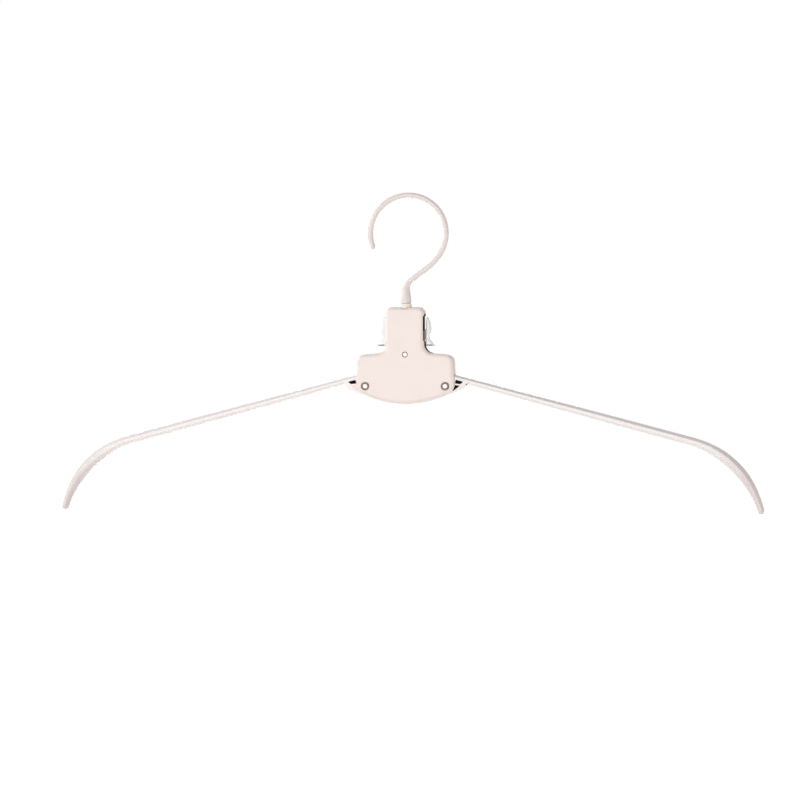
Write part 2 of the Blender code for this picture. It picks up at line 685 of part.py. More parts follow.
def make_flare():
    """Web between the hub and the bar at the right arm's root."""
    corners = [Vector((0.0, 0.0)), flare_foot(), Vector(ARM_FLARE_KNEE), flare_tip()]
    corners += [Vector((ARM_FLARE_LENGTH - ARM_FLARE_CHAMFER, ARM_RISE)), Vector((0.0, ARM_RISE))]
    outline = [arm_place(corner.x, corner.y) for corner in corners]
    return prism("flare", outline, -HUB_HALF_DEPTH, HUB_HALF_DEPTH)


def root_pockets():
    """Two pockets on each face of the flared root, with a rib between them."""
    cutters = []
    for corners in (ARM_UPPER_POCKET, ARM_LOWER_POCKET):
        outline = [arm_place(along, rise) for along, rise in corners]
        for side in (-1, 1):
            near, far = side * ARM_WEB / 2, side * (HUB_HALF_DEPTH + OVERCUT)
            cutters.append(prism("pocket", outline, near, far))
    return cutters


def bar_stations():
    """Stations along the right arm's bar, with its height and depth at each."""
    start = arm_place(0.0, ARM_RISE)
    heading = -ARM_SLOPE
    straight_end = start + ALONG * ARM_STRAIGHT_LENGTH
    bend_centre = straight_end - RISE * ARM_BEND_RADIUS
    bend_start = math.pi / 2 - ARM_SLOPE
    deep = Vector((0.0, 1.0, 0.0))
    stations = []
    for k in range(ARM_STRAIGHT_STEPS):
        share = k / ARM_STRAIGHT_STEPS
        deepening = smooth((share - DEPTH_RISE_START) / (1 - DEPTH_RISE_START))
        height = between(ARM_ROOT_HEIGHT, ARM_MIDDLE_HEIGHT, smooth(share / HEIGHT_RISE_END))
        depth = between(ARM_ROOT_DEPTH, ARM_SHOULDER_DEPTH, deepening)
        centre = start + ALONG * (ARM_STRAIGHT_LENGTH * share)
        stations.append((at(centre, 0.0), at(RISE, 0.0), deep, height / 2, depth / 2))
    for k in range(ARM_BEND_STEPS + 1):
        share = k / ARM_BEND_STEPS
        angle = bend_start - ARM_BEND_ANGLE * share
        outward = polar((0.0, 0.0), 1.0, angle)
        swell = smooth(share / SWELL_END)
        taper = smooth((share - TAPER_START) / (1 - TAPER_START))
        height = between(between(ARM_MIDDLE_HEIGHT, ARM_SHOULDER_HEIGHT, swell), ARM_TIP_HEIGHT, taper)
        depth = between(ARM_SHOULDER_DEPTH, ARM_TIP_DEPTH, taper)
        centre = bend_centre + outward * ARM_BEND_RADIUS
        stations.append((at(centre, 0.0), at(outward, 0.0), deep, height / 2, depth / 2))
    end, across, deep, half_height, half_depth = stations[-1]
    onward = Vector((across.z, 0.0, -across.x))
    for angle in TIP_ROUNDING:
        turn = math.radians(angle)
        centre = end + onward * (half_height * ARM_TIP_BLUNTNESS * math.sin(turn))
        stations.append((centre, across, deep, half_height * math.cos(turn), half_depth * math.cos(turn)))
    return stations


def make_arm(name, finish, turn):
    """Arm of the right side. The left one is the same moulding, turned half round the vertical."""
    arm = sweep(name, bar_stations(), ARM_SIDES, finish, ARM_SQUARENESS)
    join(arm, make_flare(), make_pinion())
    cut(arm, *root_pockets())
    cut(arm, cylinder(ARM_PIVOT, PIN_HOLE_RADIUS, -CASING_DEPTH, CASING_DEPTH))
    arm.data.transform(turn)
    return arm


def tab_outline():
    """Finger tab beside the neck: a crown, a waist and a lip that keeps the finger from slipping."""
    profile = (TAB_TOP, TAB_SHOULDER, TAB_CROWN, TAB_WAIST, TAB_FLARE, TAB_LIP)
    outer = []
    for out, level in zip(profile, TAB_LEVELS):
        outer.append(Vector((NECK_HALF_WIDTH + out, TAB_TOP_Z - TAB_HEIGHT * level)))
    inner = [Vector((TAB_INNER_X, TAB_FOOT_Z)), Vector((TAB_INNER_X, TAB_TOP_Z))]
    return flow_through(outer, TAB_STEPS) + inner


def sector_outline():
    """Toothed lower branch of the right lever, from the hub to its arm's pinion."""
    tip_radius = SECTOR_RADIUS + TOOTH_HEIGHT_SHARE * GEAR_MODULE
    shape = tooth(SECTOR_RADIUS, tip_radius, SECTOR_ROOT, LEVER_PITCH_ANGLE)
    first = TO_ARM_ANGLE + (LEVER_TEETH[0] - SECTOR_END_SPACE) * LEVER_PITCH_ANGLE
    last = TO_ARM_ANGLE + (LEVER_TEETH[-1] + SECTOR_END_SPACE) * LEVER_PITCH_ANGLE
    outline = [polar(CENTRE_PIN, SECTOR_ROOT, first)]
    for place in LEVER_TEETH:
        middle = TO_ARM_ANGLE + place * LEVER_PITCH_ANGLE
        outline += [polar(CENTRE_PIN, radius, middle + angle) for angle, radius in shape]
    outline.append(polar(CENTRE_PIN, SECTOR_ROOT, last))
    near = LEVER_HUB_RADIUS - LEVER_HUB_OVERLAP
    outline.append(polar(CENTRE_PIN, near, last + SECTOR_SPREAD))
    outline.append(polar(CENTRE_PIN, near, first - SECTOR_SPREAD))
    return outline


def branch_outline():
    """Upper branch of the right lever, from the hub to the finger tab."""
    near = LEVER_HUB_RADIUS - LEVER_HUB_OVERLAP
    reach = TAB_INNER_X + LEVER_BRANCH_OVERLAP
    above, below = LEVER_BRANCH_ANGLES
    return [
        polar(CENTRE_PIN, near, above),
        Vector((reach, TAB_TOP_Z - LEVER_BRANCH_DROP)),
        Vector((reach, TAB_FOOT_Z + LEVER_BRANCH_RISE)),
        polar(CENTRE_PIN, near, below),
    ]


def spring_coil_radius():
    return SLEEVE_RADIUS + CLEARANCE + SPRING_WIRE_RADIUS


def spring_leg():
    """Angle where the right leg of the spring leaves the coil, and the leg's end from the centre pin."""
    leg_end = Vector((SPRING_LEG_REACH, SPRING_LEG_HEIGHT))
    leaves = math.atan2(leg_end.y, leg_end.x) - math.acos(spring_coil_radius() / leg_end.length)
    return leaves, leg_end


def spring_wound():
    """Angle that the spring's wire turns through from leg to leg."""
    leaves, _ = spring_leg()
    return math.pi + 2 * leaves + 2 * math.pi * SPRING_TURNS


def spring_half_length():
    return SPRING_PITCH * spring_wound() / (2 * math.pi) / 2


def spring_peg_place():
    """Middle of the right lever's peg, outside the spring's leg and just below the leg's end."""
    leaves, leg_end = spring_leg()
    along = (leg_end - polar((0.0, 0.0), spring_coil_radius(), leaves)).normalized()
    outward = Vector((along.y, -along.x))
    aside = SPRING_WIRE_RADIUS + CLEARANCE + SPRING_PEG_RADIUS
    return CENTRE_PIN + leg_end - along * SPRING_LEG_END + outward * aside


def make_lever(name, finish, turn):
    """Lever of the right side: finger tab above its pivot, toothed sector below."""
    near, far = LEVER_INNER_Y, LEVER_OUTER_Y
    lever = prism(name, tab_outline(), -TAB_HALF_DEPTH, TAB_HALF_DEPTH, finish)
    hub = cylinder(CENTRE_PIN, LEVER_HUB_RADIUS, near, far)
    join(hub, prism("branch", branch_outline(), near, far))
    join(hub, prism("sector", sector_outline(), near, far))
    peg_end = spring_half_length() - SPRING_WIRE_RADIUS - SPRING_PEG_END
    join(hub, cylinder(spring_peg_place(), SPRING_PEG_RADIUS, peg_end, (near + far) / 2))
    join(lever, hub)
    cut(lever, cylinder(CENTRE_PIN, CENTRE_HOLE_RADIUS, -CASING_DEPTH, CASING_DEPTH))
    lever.data.transform(turn)
    return lever


def make_headed_pin(name, place, radius, front_y, finish):
    """Plain pin along Y with a flat head, sunk in the back cover."""
    back = HALF_DEPTH - PIN_RECESS
    under_head = back - PIN_HEAD_THICKNESS
    stations = [
        (-front_y, radius - PIN_CHAMFER),
        (-front_y + PIN_CHAMFER, radius),
        (under_head, radius),
        (under_head, PIN_HEAD_RADIUS),
        (back - PIN_CHAMFER, PIN_HEAD_RADIUS),
        (back, PIN_HEAD_RADIUS - PIN_CHAMFER),
    ]
    return turned(name, stations, place, "Y", finish)


def make_pin_ring(name, place, finish):
    front = -HALF_DEPTH + PIN_RECESS
    stations = ring_stations(front + PIN_RING_THICKNESS, front, ARM_PIN_RADIUS + CLEARANCE, PIN_RING_RADIUS)
    return turned(name, stations, place, "Y", finish, hollow=True)


def make_sleeve(finish):
    half = LEVER_INNER_Y - CLEARANCE
    stations = ring_stations(half, -half, CENTRE_HOLE_RADIUS, SLEEVE_RADIUS)
    return turned("spring_sleeve", stations, CENTRE_PIN, "Y", finish, hollow=True)


def make_spring(finish):
    """Torsion spring round the sleeve, its legs against the levers' pegs."""
    leaves, leg_end = spring_leg()
    wound = spring_wound()
    half_length = spring_half_length()
    steps = round(SPRING_TURN_STEPS * wound / (2 * math.pi))
    route = []
    for k in range(steps + 1):
        share = k / steps
        spot = polar(CENTRE_PIN, spring_coil_radius(), leaves - wound * share)
        route.append(at(spot, between(half_length, -half_length, share)))
    route.insert(0, at(CENTRE_PIN + leg_end, half_length))
    route.append(at(CENTRE_PIN + Vector((-leg_end.x, leg_end.y)), -half_length))
    rings = []
    for index, place in enumerate(route):
        before, after = route[max(index - 1, 0)], route[min(index + 1, len(route) - 1)]
        heading = (after - before).normalized()
        outward = (Vector((place.x, 0.0, place.z)) - at(CENTRE_PIN, 0.0)).normalized()
        first = heading.cross(outward).normalized()
        second = first.cross(heading).normalized()
        turns = [2 * math.pi * k / SPRING_SIDES for k in range(SPRING_SIDES)]
        rings.append(
            [place + (first * math.cos(a) + second * math.sin(a)) * SPRING_WIRE_RADIUS for a in turns]
        )
    gap = SPRING_PITCH - 2 * SPRING_WIRE_RADIUS
    print(f"lever_spring: least gap between turns {gap * 1000:.2f} mm")
    return add_object("lever_spring", loft(rings), finish)


def make_screw(name, place, finish):
    back = HALF_DEPTH - PIN_RECESS
    under_head = back - SCREW_HEAD_THICKNESS
    point = -CAVITY - SCREW_POINT + CLEARANCE
    stations = [
        (point, SCREW_POINT_RADIUS),
        (point + SCREW_RADIUS, SCREW_RADIUS),
        (under_head, SCREW_RADIUS),
        (under_head, SCREW_HEAD_RADIUS),
        (back - SCREW_CHAMFER, SCREW_HEAD_RADIUS),
        (back, SCREW_HEAD_RADIUS - SCREW_CHAMFER),
    ]
    return turned(name, stations, place, "Y", finish)


def empty(name, place, parent=None):
    made = bpy.data.objects.new(name, None)
    made.empty_display_size = 0.01
    bpy.context.collection.objects.link(made)
    made.location = place
    if parent:
        made.parent = parent
        made.matrix_parent_inverse = parent.matrix_world.inverted()
    bpy.context.view_layer.update()
    return made


def hang_on(parent, *pieces):
    """Put the pieces' origins on their parent empty, with the shapes where they are."""
    origin = parent.matrix_world.translation
    for piece in pieces:
        piece.data.transform(Matrix.Translation(-origin))
        piece.parent = parent
        piece.location = (0.0, 0.0, 0.0)


def build():
    clear_scene()
    hook = make_hook(material("hook_plastic", CREAM, 0.35))
    hook_ring = make_hook_retaining_ring(material("hook_ring_steel", DARK_STEEL, 0.4, 1.0))

    fixed = [
        make_hook_bush(material("bush_plastic", IVORY, 0.4)),
        make_front_cover(material("front_cover_plastic", CREAM, 0.4)),
        make_back_cover(material("back_cover_plastic", CREAM, 0.4)),
        make_sleeve(material("sleeve_plastic", NATURAL, 0.45)),
        make_spring(material("lever_spring_steel", SPRING_STEEL, 0.3, 1.0)),
    ]
    centre_front = HALF_DEPTH - CENTRE_PIN_RECESS
    arm_front = HALF_DEPTH - PIN_RECESS
    pin_finish = material("centre_pin_steel", BRIGHT_STEEL, 0.3, 1.0)
    fixed.append(make_headed_pin("centre_pin", CENTRE_PIN, CENTRE_PIN_RADIUS, centre_front, pin_finish))
    for side, sign in (("right", 1), ("left", -1)):
        place = Vector((sign * ARM_PIVOT.x, ARM_PIVOT.y))
        pin_finish = material(f"{side}_arm_pin_steel", BRIGHT_STEEL, 0.3, 1.0)
        ring_finish = material(f"{side}_pin_ring_steel", DARK_STEEL, 0.4, 1.0)
        fixed.append(make_headed_pin(f"{side}_arm_pin", place, ARM_PIN_RADIUS, arm_front, pin_finish))
        fixed.append(make_pin_ring(f"{side}_arm_pin_ring", place, ring_finish))
    for level, place in (("upper", UPPER_SCREW), ("lower", LOWER_SCREW)):
        screw_finish = material(f"{level}_screw_steel", BRIGHT_STEEL, 0.35, 1.0)
        fixed.append(make_screw(f"{level}_cover_screw", place, screw_finish))

    swivel = empty("swivel_axis", (0.0, 0.0, COLLAR_TOP_Z))
    hang_on(swivel, *fixed)
    lever_axis = empty("lever_axis", at(CENTRE_PIN, 0.0), swivel)
    for side, sign, turn in (("right", 1, NO_TURN), ("left", -1, HALF_TURN)):
        arm = make_arm(f"{side}_arm", material(f"{side}_arm_plastic", CREAM, 0.4), turn)
        lever = make_lever(f"{side}_lever", material(f"{side}_lever_plastic", CREAM, 0.4), turn)
        axis = empty(f"{side}_arm_axis", (sign * ARM_PIVOT.x, 0.0, ARM_PIVOT.y), swivel)
        hang_on(axis, arm)
        hang_on(lever_axis, lever)
    hook_axis = empty("hook_axis", (0.0, 0.0, COLLAR_TOP_Z))
    hang_on(hook_axis, hook, hook_ring)


build()
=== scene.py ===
"""Folding clothes hanger: the visual model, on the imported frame.

Metres, in the frame's own axes: X runs along the arms, -Y is the front, +Z is up.
The mouldings follow the same named sizes as the solids, with finer facets, rounded
edges and the small details that the solids leave out.
"""

from math import acos, asin, atan2, copysign, cos, pi, radians, sin, sqrt, tan

import bmesh
import bpy
from mathutils import Matrix, Quaternion, Vector


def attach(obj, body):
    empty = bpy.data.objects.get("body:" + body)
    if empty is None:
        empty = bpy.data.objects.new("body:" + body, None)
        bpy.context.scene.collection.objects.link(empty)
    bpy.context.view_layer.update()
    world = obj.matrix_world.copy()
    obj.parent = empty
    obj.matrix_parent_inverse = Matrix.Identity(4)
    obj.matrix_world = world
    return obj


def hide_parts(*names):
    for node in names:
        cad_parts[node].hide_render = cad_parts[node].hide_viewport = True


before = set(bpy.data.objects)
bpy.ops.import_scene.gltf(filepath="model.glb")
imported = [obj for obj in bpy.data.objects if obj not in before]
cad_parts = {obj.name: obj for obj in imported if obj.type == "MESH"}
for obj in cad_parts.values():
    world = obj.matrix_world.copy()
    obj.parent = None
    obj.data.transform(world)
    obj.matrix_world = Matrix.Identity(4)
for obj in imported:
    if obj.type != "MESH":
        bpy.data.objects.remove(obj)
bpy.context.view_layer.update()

# Fits between neighbouring pieces, and how far a cutter passes a face
CLEARANCE = 0.0003
OVERCUT = 0.0010

# Hook
HOOK_INNER_RADIUS = 0.02055
HOOK_OFFSET = 0.0014
HOOK_WIRE_RADIUS = 0.00155
HOOK_TIP_ANGLE = radians(200.0)
HOOK_WIDE_BEND_ANGLE = radians(-30.0)
HOOK_WIDE_BEND_RADIUS = 0.030
HOOK_SLOPE = radians(54.0)
HOOK_FOOT_BEND_RADIUS = 0.009
STEM_LENGTH = 0.0068
STEM_RADIUS = 0.00305
STEM_PLAIN_LENGTH = 0.0022
STEM_TAPER_LENGTH = 0.0112
SHANK_RADIUS = 0.0019

# Swivel bush and the ring that holds the shank in it
COLLAR_RADIUS = 0.0033
COLLAR_RISE = 0.0019
COLLAR_SEAT_DEPTH = 0.0013
BUSH_BODY_RADIUS = 0.0027
SWIVEL_BLOCK_HEIGHT = 0.0031
SWIVEL_BLOCK_WALL = 0.0010
BUSH_FLANGE_THICKNESS = 0.0010
SHANK_RING_MARGIN = 0.0003
SHANK_RING_THICKNESS = 0.0008
SHANK_END = 0.0010

# Casing
CASING_DEPTH = 0.0120
PLATE = 0.0020
WALL = 0.0020
EDGE_RADIUS = 0.0023
NECK_HALF_WIDTH = 0.0111
NECK_CORNER_RADIUS = 0.0035
NECK_LENGTH = 0.0262
NECK_FILLET_RADIUS = 0.0053
SHOULDER_SLOPE = radians(5.0)
SHOULDER_CORNER_RADIUS = 0.0045
BODY_SIDE_MARGIN = 0.0056
BODY_SIDE_LEAN = 0.0010
BELLY_CORNER_RADIUS = 0.0055
BELLY_CORNER_DROP = 0.0023
BELLY_RADIUS = 0.055
BELLY_ARC_MARGIN = 0.0017

# Pivots of the levers and the arms
CENTRE_PIN_DROP = 0.0012
ARM_PIVOT_X = 0.0233
ARM_PIVOT_DROP = 0.0183
ARM_PIN_RADIUS = 0.0014
CENTRE_PIN_RADIUS = 0.0013
PIN_HEAD_RADIUS = 0.0026
PIN_HEAD_THICKNESS = 0.0009
PIN_RING_RADIUS = 0.0022
PIN_RING_THICKNESS = 0.0006
PIN_RECESS = 0.0001
CENTRE_PIN_RECESS = 0.0004
PIN_CHAMFER = 0.00025

# Openings of the casing's rim for the levers and the arms
LEVER_SLOT_ABOVE = 0.0019
LEVER_SLOT_BELOW = 0.0008
SLOT_RELIEF = 0.0007
ARM_OPENING_BACK = 0.0060
ARM_SWING_ROOM = 0.0031

# Arms, seen from their pivots: along is down the slope, rise is square to it
ARM_SLOPE = radians(15.0)
ARM_RISE = 0.0060
ARM_STRAIGHT_LENGTH = 0.1435
ARM_BEND_RADIUS = 0.057
ARM_BEND_ANGLE = radians(59.0)
ARM_ROOT_HEIGHT = 0.0034
ARM_MIDDLE_HEIGHT = 0.0047
ARM_SHOULDER_HEIGHT = 0.0062
ARM_TIP_HEIGHT = 0.0040
ARM_ROOT_DEPTH = 0.0072
ARM_SHOULDER_DEPTH = 0.0094
ARM_TIP_DEPTH = 0.0066
ARM_HUB_RADIUS = 0.0050
ARM_HUB_SIDE_GAP = 0.0004
ARM_FLARE_LENGTH = 0.0124
ARM_FLARE_KNEE = (0.0089, -0.0002)
ARM_FLARE_OVERLAP = 0.00034
ARM_FLARE_CHAMFER = 0.00135
ARM_WEB = 0.0012
ARM_UPPER_POCKET = ((0.0048, 0.0029), (0.0048, 0.0051), (0.0094, 0.0051), (0.0080, 0.0033))
ARM_LOWER_POCKET = ((0.0044, -0.0019), (0.0053, -0.0013), (0.0081, 0.0024), (0.0049, 0.0020))

# Shares of the straight part, and then of the bend, where the arm's section changes
HEIGHT_RISE_END = 0.83
DEPTH_RISE_START = 0.10
SWELL_END = 0.40
TAPER_START = 0.55
ARM_TIP_BLUNTNESS = 1.3

# Gearing between an arm and its lever
GEAR_RATIO = 5.2
PINION_PITCH_ANGLE = radians(40.0)
PRESSURE_ANGLE = radians(28.0)
TOOTH_HEIGHT_SHARE = 0.80
TOOTH_DEPTH_SHARE = 1.08
BACKLASH = 0.00012
ARM_TEETH = (-0.5, 0.5, 1.5, 2.5)
LEVER_TEETH = (-3, -2, -1, 0, 1)
SECTOR_END_SPACE = 0.6
SECTOR_SPREAD = radians(20.0)

# Levers and finger tabs
LEVER_THICKNESS = 0.0020
LEVER_HUB_RADIUS = 0.0046
LEVER_HUB_OVERLAP = 0.00015
LEVER_BRANCH_ANGLES = (radians(150.0), radians(-20.0))
LEVER_BRANCH_OVERLAP = 0.0005
LEVER_BRANCH_DROP = 0.0062
LEVER_BRANCH_RISE = 0.0056
TAB_TOP_DROP = 0.0057
TAB_HEIGHT = 0.0168
TAB_HALF_DEPTH = 0.0035
TAB_GAP = 0.0006
TAB_TOP = 0.0014
TAB_SHOULDER = 0.0028
TAB_CROWN = 0.0034
TAB_WAIST = 0.0024
TAB_FLARE = 0.0041
TAB_LIP = 0.0058
TAB_LEVELS = (0.0, 0.17, 0.48, 0.70, 0.87, 1.0)

# Spring and its sleeve
SLEEVE_RADIUS = 0.0027
SPRING_WIRE_RADIUS = 0.0003
SPRING_TURNS = 2
SPRING_PITCH = 0.00092
SPRING_LEG_REACH = 0.0080
SPRING_LEG_HEIGHT = 0.0123
SPRING_LEG_END = 0.0014
SPRING_PEG_RADIUS = 0.0008
SPRING_PEG_END = 0.0004

# Cover screws
SCREW_HEAD_RADIUS = 0.0018
SCREW_HEAD_THICKNESS = 0.0009
SCREW_RADIUS = 0.0009
SCREW_BOSS_RADIUS = 0.0024
SCREW_POINT = 0.0006
SCREW_POINT_RADIUS = 0.00036
SCREW_CHAMFER = 0.00035
UPPER_SCREW_RISE = 0.0145
LOWER_SCREW_DROP = 0.0193

# Places that follow from the sizes
HALF_DEPTH = CASING_DEPTH / 2
CAVITY = HALF_DEPTH - PLATE
PLATE_MIDDLE = CAVITY + PLATE / 2
SEAM = CLEARANCE / 2
SUNK_FACE_Y = HALF_DEPTH - PIN_RECESS
BUSH_FLANGE_RADIUS = CAVITY - CLEARANCE
SHANK_RING_RADIUS = BUSH_FLANGE_RADIUS - SHANK_RING_MARGIN
HOOK_RADIUS = HOOK_INNER_RADIUS + HOOK_WIRE_RADIUS
LOOP_CENTRE = Vector((HOOK_OFFSET, -sqrt(HOOK_INNER_RADIUS**2 - HOOK_OFFSET**2)))


def polar(centre, radius, angle):
    """Point at a radius and an angle round a centre, in the X-Z plane."""
    return Vector((centre[0] + radius * cos(angle), centre[1] + radius * sin(angle)))


WIDE_BEND_CENTRE = polar(LOOP_CENTRE, HOOK_RADIUS - HOOK_WIDE_BEND_RADIUS, HOOK_WIDE_BEND_ANGLE)
WIDE_BEND_END = polar(WIDE_BEND_CENTRE, HOOK_WIDE_BEND_RADIUS, -HOOK_SLOPE)
FOOT_BEND_X = HOOK_FOOT_BEND_RADIUS * (1 - cos(HOOK_SLOPE))
SLOPE_LENGTH = (WIDE_BEND_END.x - FOOT_BEND_X) / sin(HOOK_SLOPE)
FOOT_BEND_START = WIDE_BEND_END - SLOPE_LENGTH * Vector((sin(HOOK_SLOPE), cos(HOOK_SLOPE)))
FOOT_BEND_CENTRE = polar(FOOT_BEND_START, HOOK_FOOT_BEND_RADIUS, -HOOK_SLOPE)
STEM_TOP_Z = FOOT_BEND_CENTRE.y
STEM_FOOT_Z = STEM_TOP_Z - STEM_LENGTH
COLLAR_TOP_Z = STEM_FOOT_Z - CLEARANCE
NECK_TOP_Z = COLLAR_TOP_Z - COLLAR_RISE
COLLAR_SEAT_Z = NECK_TOP_Z - COLLAR_SEAT_DEPTH
BLOCK_FOOT_Z = COLLAR_SEAT_Z - SWIVEL_BLOCK_HEIGHT
BUSH_FLANGE_Z = BLOCK_FOOT_Z - CLEARANCE
BUSH_FOOT_Z = BUSH_FLANGE_Z - BUSH_FLANGE_THICKNESS
SHANK_RING_Z = BUSH_FOOT_Z - CLEARANCE
SHANK_FOOT_Z = SHANK_RING_Z - SHANK_RING_THICKNESS - SHANK_END
BLOCK_HALF_WIDTH = COLLAR_RADIUS + CLEARANCE + SWIVEL_BLOCK_WALL

SHOULDER_Z = NECK_TOP_Z - NECK_LENGTH
CENTRE_PIN = Vector((0.0, SHOULDER_Z - CENTRE_PIN_DROP))
ARM_PIVOT = Vector((ARM_PIVOT_X, CENTRE_PIN.y - ARM_PIVOT_DROP))
BODY_HALF_WIDTH = ARM_PIVOT_X + BODY_SIDE_MARGIN
BELLY_CORNER_Z = ARM_PIVOT.y - BELLY_CORNER_DROP
BELLY_TILT = asin((ARM_PIVOT_X + BELLY_ARC_MARGIN) / BELLY_RADIUS)
BELLY_POINT_Z = BELLY_CORNER_Z - BODY_HALF_WIDTH * tan(BELLY_TILT)
BELLY_Z = BELLY_POINT_Z + BELLY_RADIUS / cos(BELLY_TILT) - BELLY_RADIUS

TO_ARM = ARM_PIVOT - CENTRE_PIN
PIVOT_DISTANCE = TO_ARM.length
TO_ARM_ANGLE = atan2(TO_ARM.y, TO_ARM.x)
PINION_RADIUS = PIVOT_DISTANCE / (1 + GEAR_RATIO)
SECTOR_RADIUS = PIVOT_DISTANCE - PINION_RADIUS
GEAR_MODULE = PINION_PITCH_ANGLE * PINION_RADIUS / pi
LEVER_PITCH_ANGLE = PINION_PITCH_ANGLE / GEAR_RATIO
SECTOR_ROOT = SECTOR_RADIUS - TOOTH_DEPTH_SHARE * GEAR_MODULE
PINION_TIP = PINION_RADIUS + TOOTH_HEIGHT_SHARE * GEAR_MODULE

ALONG = Vector((cos(ARM_SLOPE), -sin(ARM_SLOPE)))
RISE = Vector((sin(ARM_SLOPE), cos(ARM_SLOPE)))
HUB_HALF_DEPTH = CAVITY - ARM_HUB_SIDE_GAP
LEVER_OUTER_Y = CAVITY - CLEARANCE
LEVER_INNER_Y = LEVER_OUTER_Y - LEVER_THICKNESS
PIN_HOLE_RADIUS = ARM_PIN_RADIUS + CLEARANCE
CENTRE_HOLE_RADIUS = CENTRE_PIN_RADIUS + CLEARANCE
LEVER_HUB_OVERLAP_RADIUS = LEVER_HUB_RADIUS - LEVER_HUB_OVERLAP
RING_SEAT_Y = SUNK_FACE_Y - PIN_RING_THICKNESS - CLEARANCE
HEAD_SEAT_Y = SUNK_FACE_Y - PIN_HEAD_THICKNESS - CLEARANCE
SCREW_SEAT_Y = SUNK_FACE_Y - SCREW_HEAD_THICKNESS - CLEARANCE
TAB_TOP_Z = NECK_TOP_Z - TAB_TOP_DROP
TAB_FOOT_Z = TAB_TOP_Z - TAB_HEIGHT
TAB_INNER_X = NECK_HALF_WIDTH + TAB_GAP
LEVER_SLOT_TOP_Z = TAB_TOP_Z + LEVER_SLOT_ABOVE
SCREWS = (CENTRE_PIN + Vector((0.0, UPPER_SCREW_RISE)), CENTRE_PIN - Vector((0.0, LOWER_SCREW_DROP)))
ARM_PIVOTS = (ARM_PIVOT, Vector((-ARM_PIVOT.x, ARM_PIVOT.y)))
SPRING_COIL_RADIUS = SLEEVE_RADIUS + CLEARANCE + SPRING_WIRE_RADIUS
SPRING_LEG = Vector((SPRING_LEG_REACH, SPRING_LEG_HEIGHT))
SPRING_LEAVES = atan2(SPRING_LEG.y, SPRING_LEG.x) - acos(SPRING_COIL_RADIUS / SPRING_LEG.length)
SPRING_WOUND = pi + 2 * SPRING_LEAVES + 2 * pi * SPRING_TURNS
SPRING_HALF_LENGTH = SPRING_PITCH * SPRING_WOUND / (2 * pi) / 2
DEEP = Vector((0.0, 1.0, 0.0))
NO_TURN = Matrix.Identity(4)
HALF_TURN = Matrix.Rotation(pi, 4, "Z")

# Facets round and along the pieces
ROUND_SIDES = 64
HOOK_SIDES = 40
LOOP_STEPS = 110
BEND_STEPS = 16
STEM_STEPS = 14
SPRING_SIDES = 12
SPRING_TURN_STEPS = 48
ARM_STRAIGHT_STEPS = 36
ARM_BEND_STEPS = 60
CORNER_STEPS = 16
BELLY_STEPS = 72
EDGE_STEPS = 10
FLANK_STEPS = 8
HUB_STEPS = 48
TAB_STEPS = 10
TAB_ROUND_STEPS = 6
TIP_ROUNDING = [radians(turn) for turn in (8, 17, 26, 35, 44, 53, 62, 71, 80, 86)]
SHARP_ANGLE = radians(32.0)

# Limits for moving and rounding outlines: how thin a mitre gets, and the share of a side that rounding takes
LEAST_LEAN = 0.5
CORNER_REACH = 0.45

# Small details that the solids leave out
ARM_FLAT = 0.42
ARM_TIP_FLAT = 0.20
ARM_FLAT_NARROWS = (0.5, 0.9)
ARM_WALL = 0.28
ARM_CORNER = 0.30
POCKET_CORNER = 0.00025
POCKET_SHALLOW = 0.0004
ARM_END_POCKET = ((0.0107, 0.0041), (0.0118, 0.0046), (0.0124, 0.0045), (0.0117, 0.0036))
SEAM_CHAMFER = 0.00025
STEM_CHAMFER = 0.0003
RING_EDGE = 0.0001
PIN_RING_EDGE = 0.00012
HOLE_CHAMFER = 0.00020
FLARE_EDGE = 0.00035
TAB_EDGE = 0.0012
TAB_INNER_EDGE = 0.0010
TAB_OUTER_SHARE = 0.55
TAB_INNER_SHARE = 0.42
TAB_TOP_EDGE = 0.00022
TAB_FOOT_EDGE = 0.0003
FLANGE_REACH = 0.0012
GROOVE_INSET = 0.0006
GROOVE_LENGTH = 0.0035
GROOVE_RISE = 0.0003
GROOVE_WIDTH = 0.0005
GROOVE_DEPTH = 0.0005
FLANGE_MARGIN = 0.0004
TAB_SETBACK = 0.0002
SKIN = 0.00008
COLLAR_LIFT = 0.00016
PIN_SKIN = 0.0001
PIN_EDGE = 0.00013
RING_SLOTS = 3
RING_SLOT_HALF_WIDTH = 0.00016
RING_SLOT_REACH = 0.00045
RECESS_HALF_WIDTH = 0.00019
RECESS_REACH = 0.00105
RECESS_FLOOR_REACH = RECESS_REACH * 0.55
RECESS_DEPTH = 0.00060

# Rounding of the pins' and screws' ends: (share of the edge below the face, share of the radius)
PIN_CROWN = ((0.0, 0.25), (0.1, 0.55))

# The same, as (share of the edge below the face, share of the edge in from the side)
PIN_END_SHARES = ((0.3, 1.0), (0.55, 0.35), (1.0, 0.0))
PIN_HEAD_SHARES = ((1.0, 0.0), (0.4, 0.3), (0.0, 1.0))
SCREW_HEAD_SHARES = ((1.0, 0.0), (0.45, 0.35), (0.1, 1.0), (0.0, 2.0))

# Camera of the photograph, and its picture's width in pixels
CAMERA_AZIMUTH = radians(7.29)
CAMERA_ELEVATION = radians(1.50)
CAMERA_ROLL = radians(-0.14)
CAMERA_TARGET = Vector((-0.00366, 0.0, -0.11711))
CAMERA_DISTANCE = 1.3
CAMERA_FOCAL_PIXELS = 2238.0
CAMERA_RANGE = (0.01, 50.0)
PICTURE_WIDTH = 800
SENSOR_WIDTH = 36.0

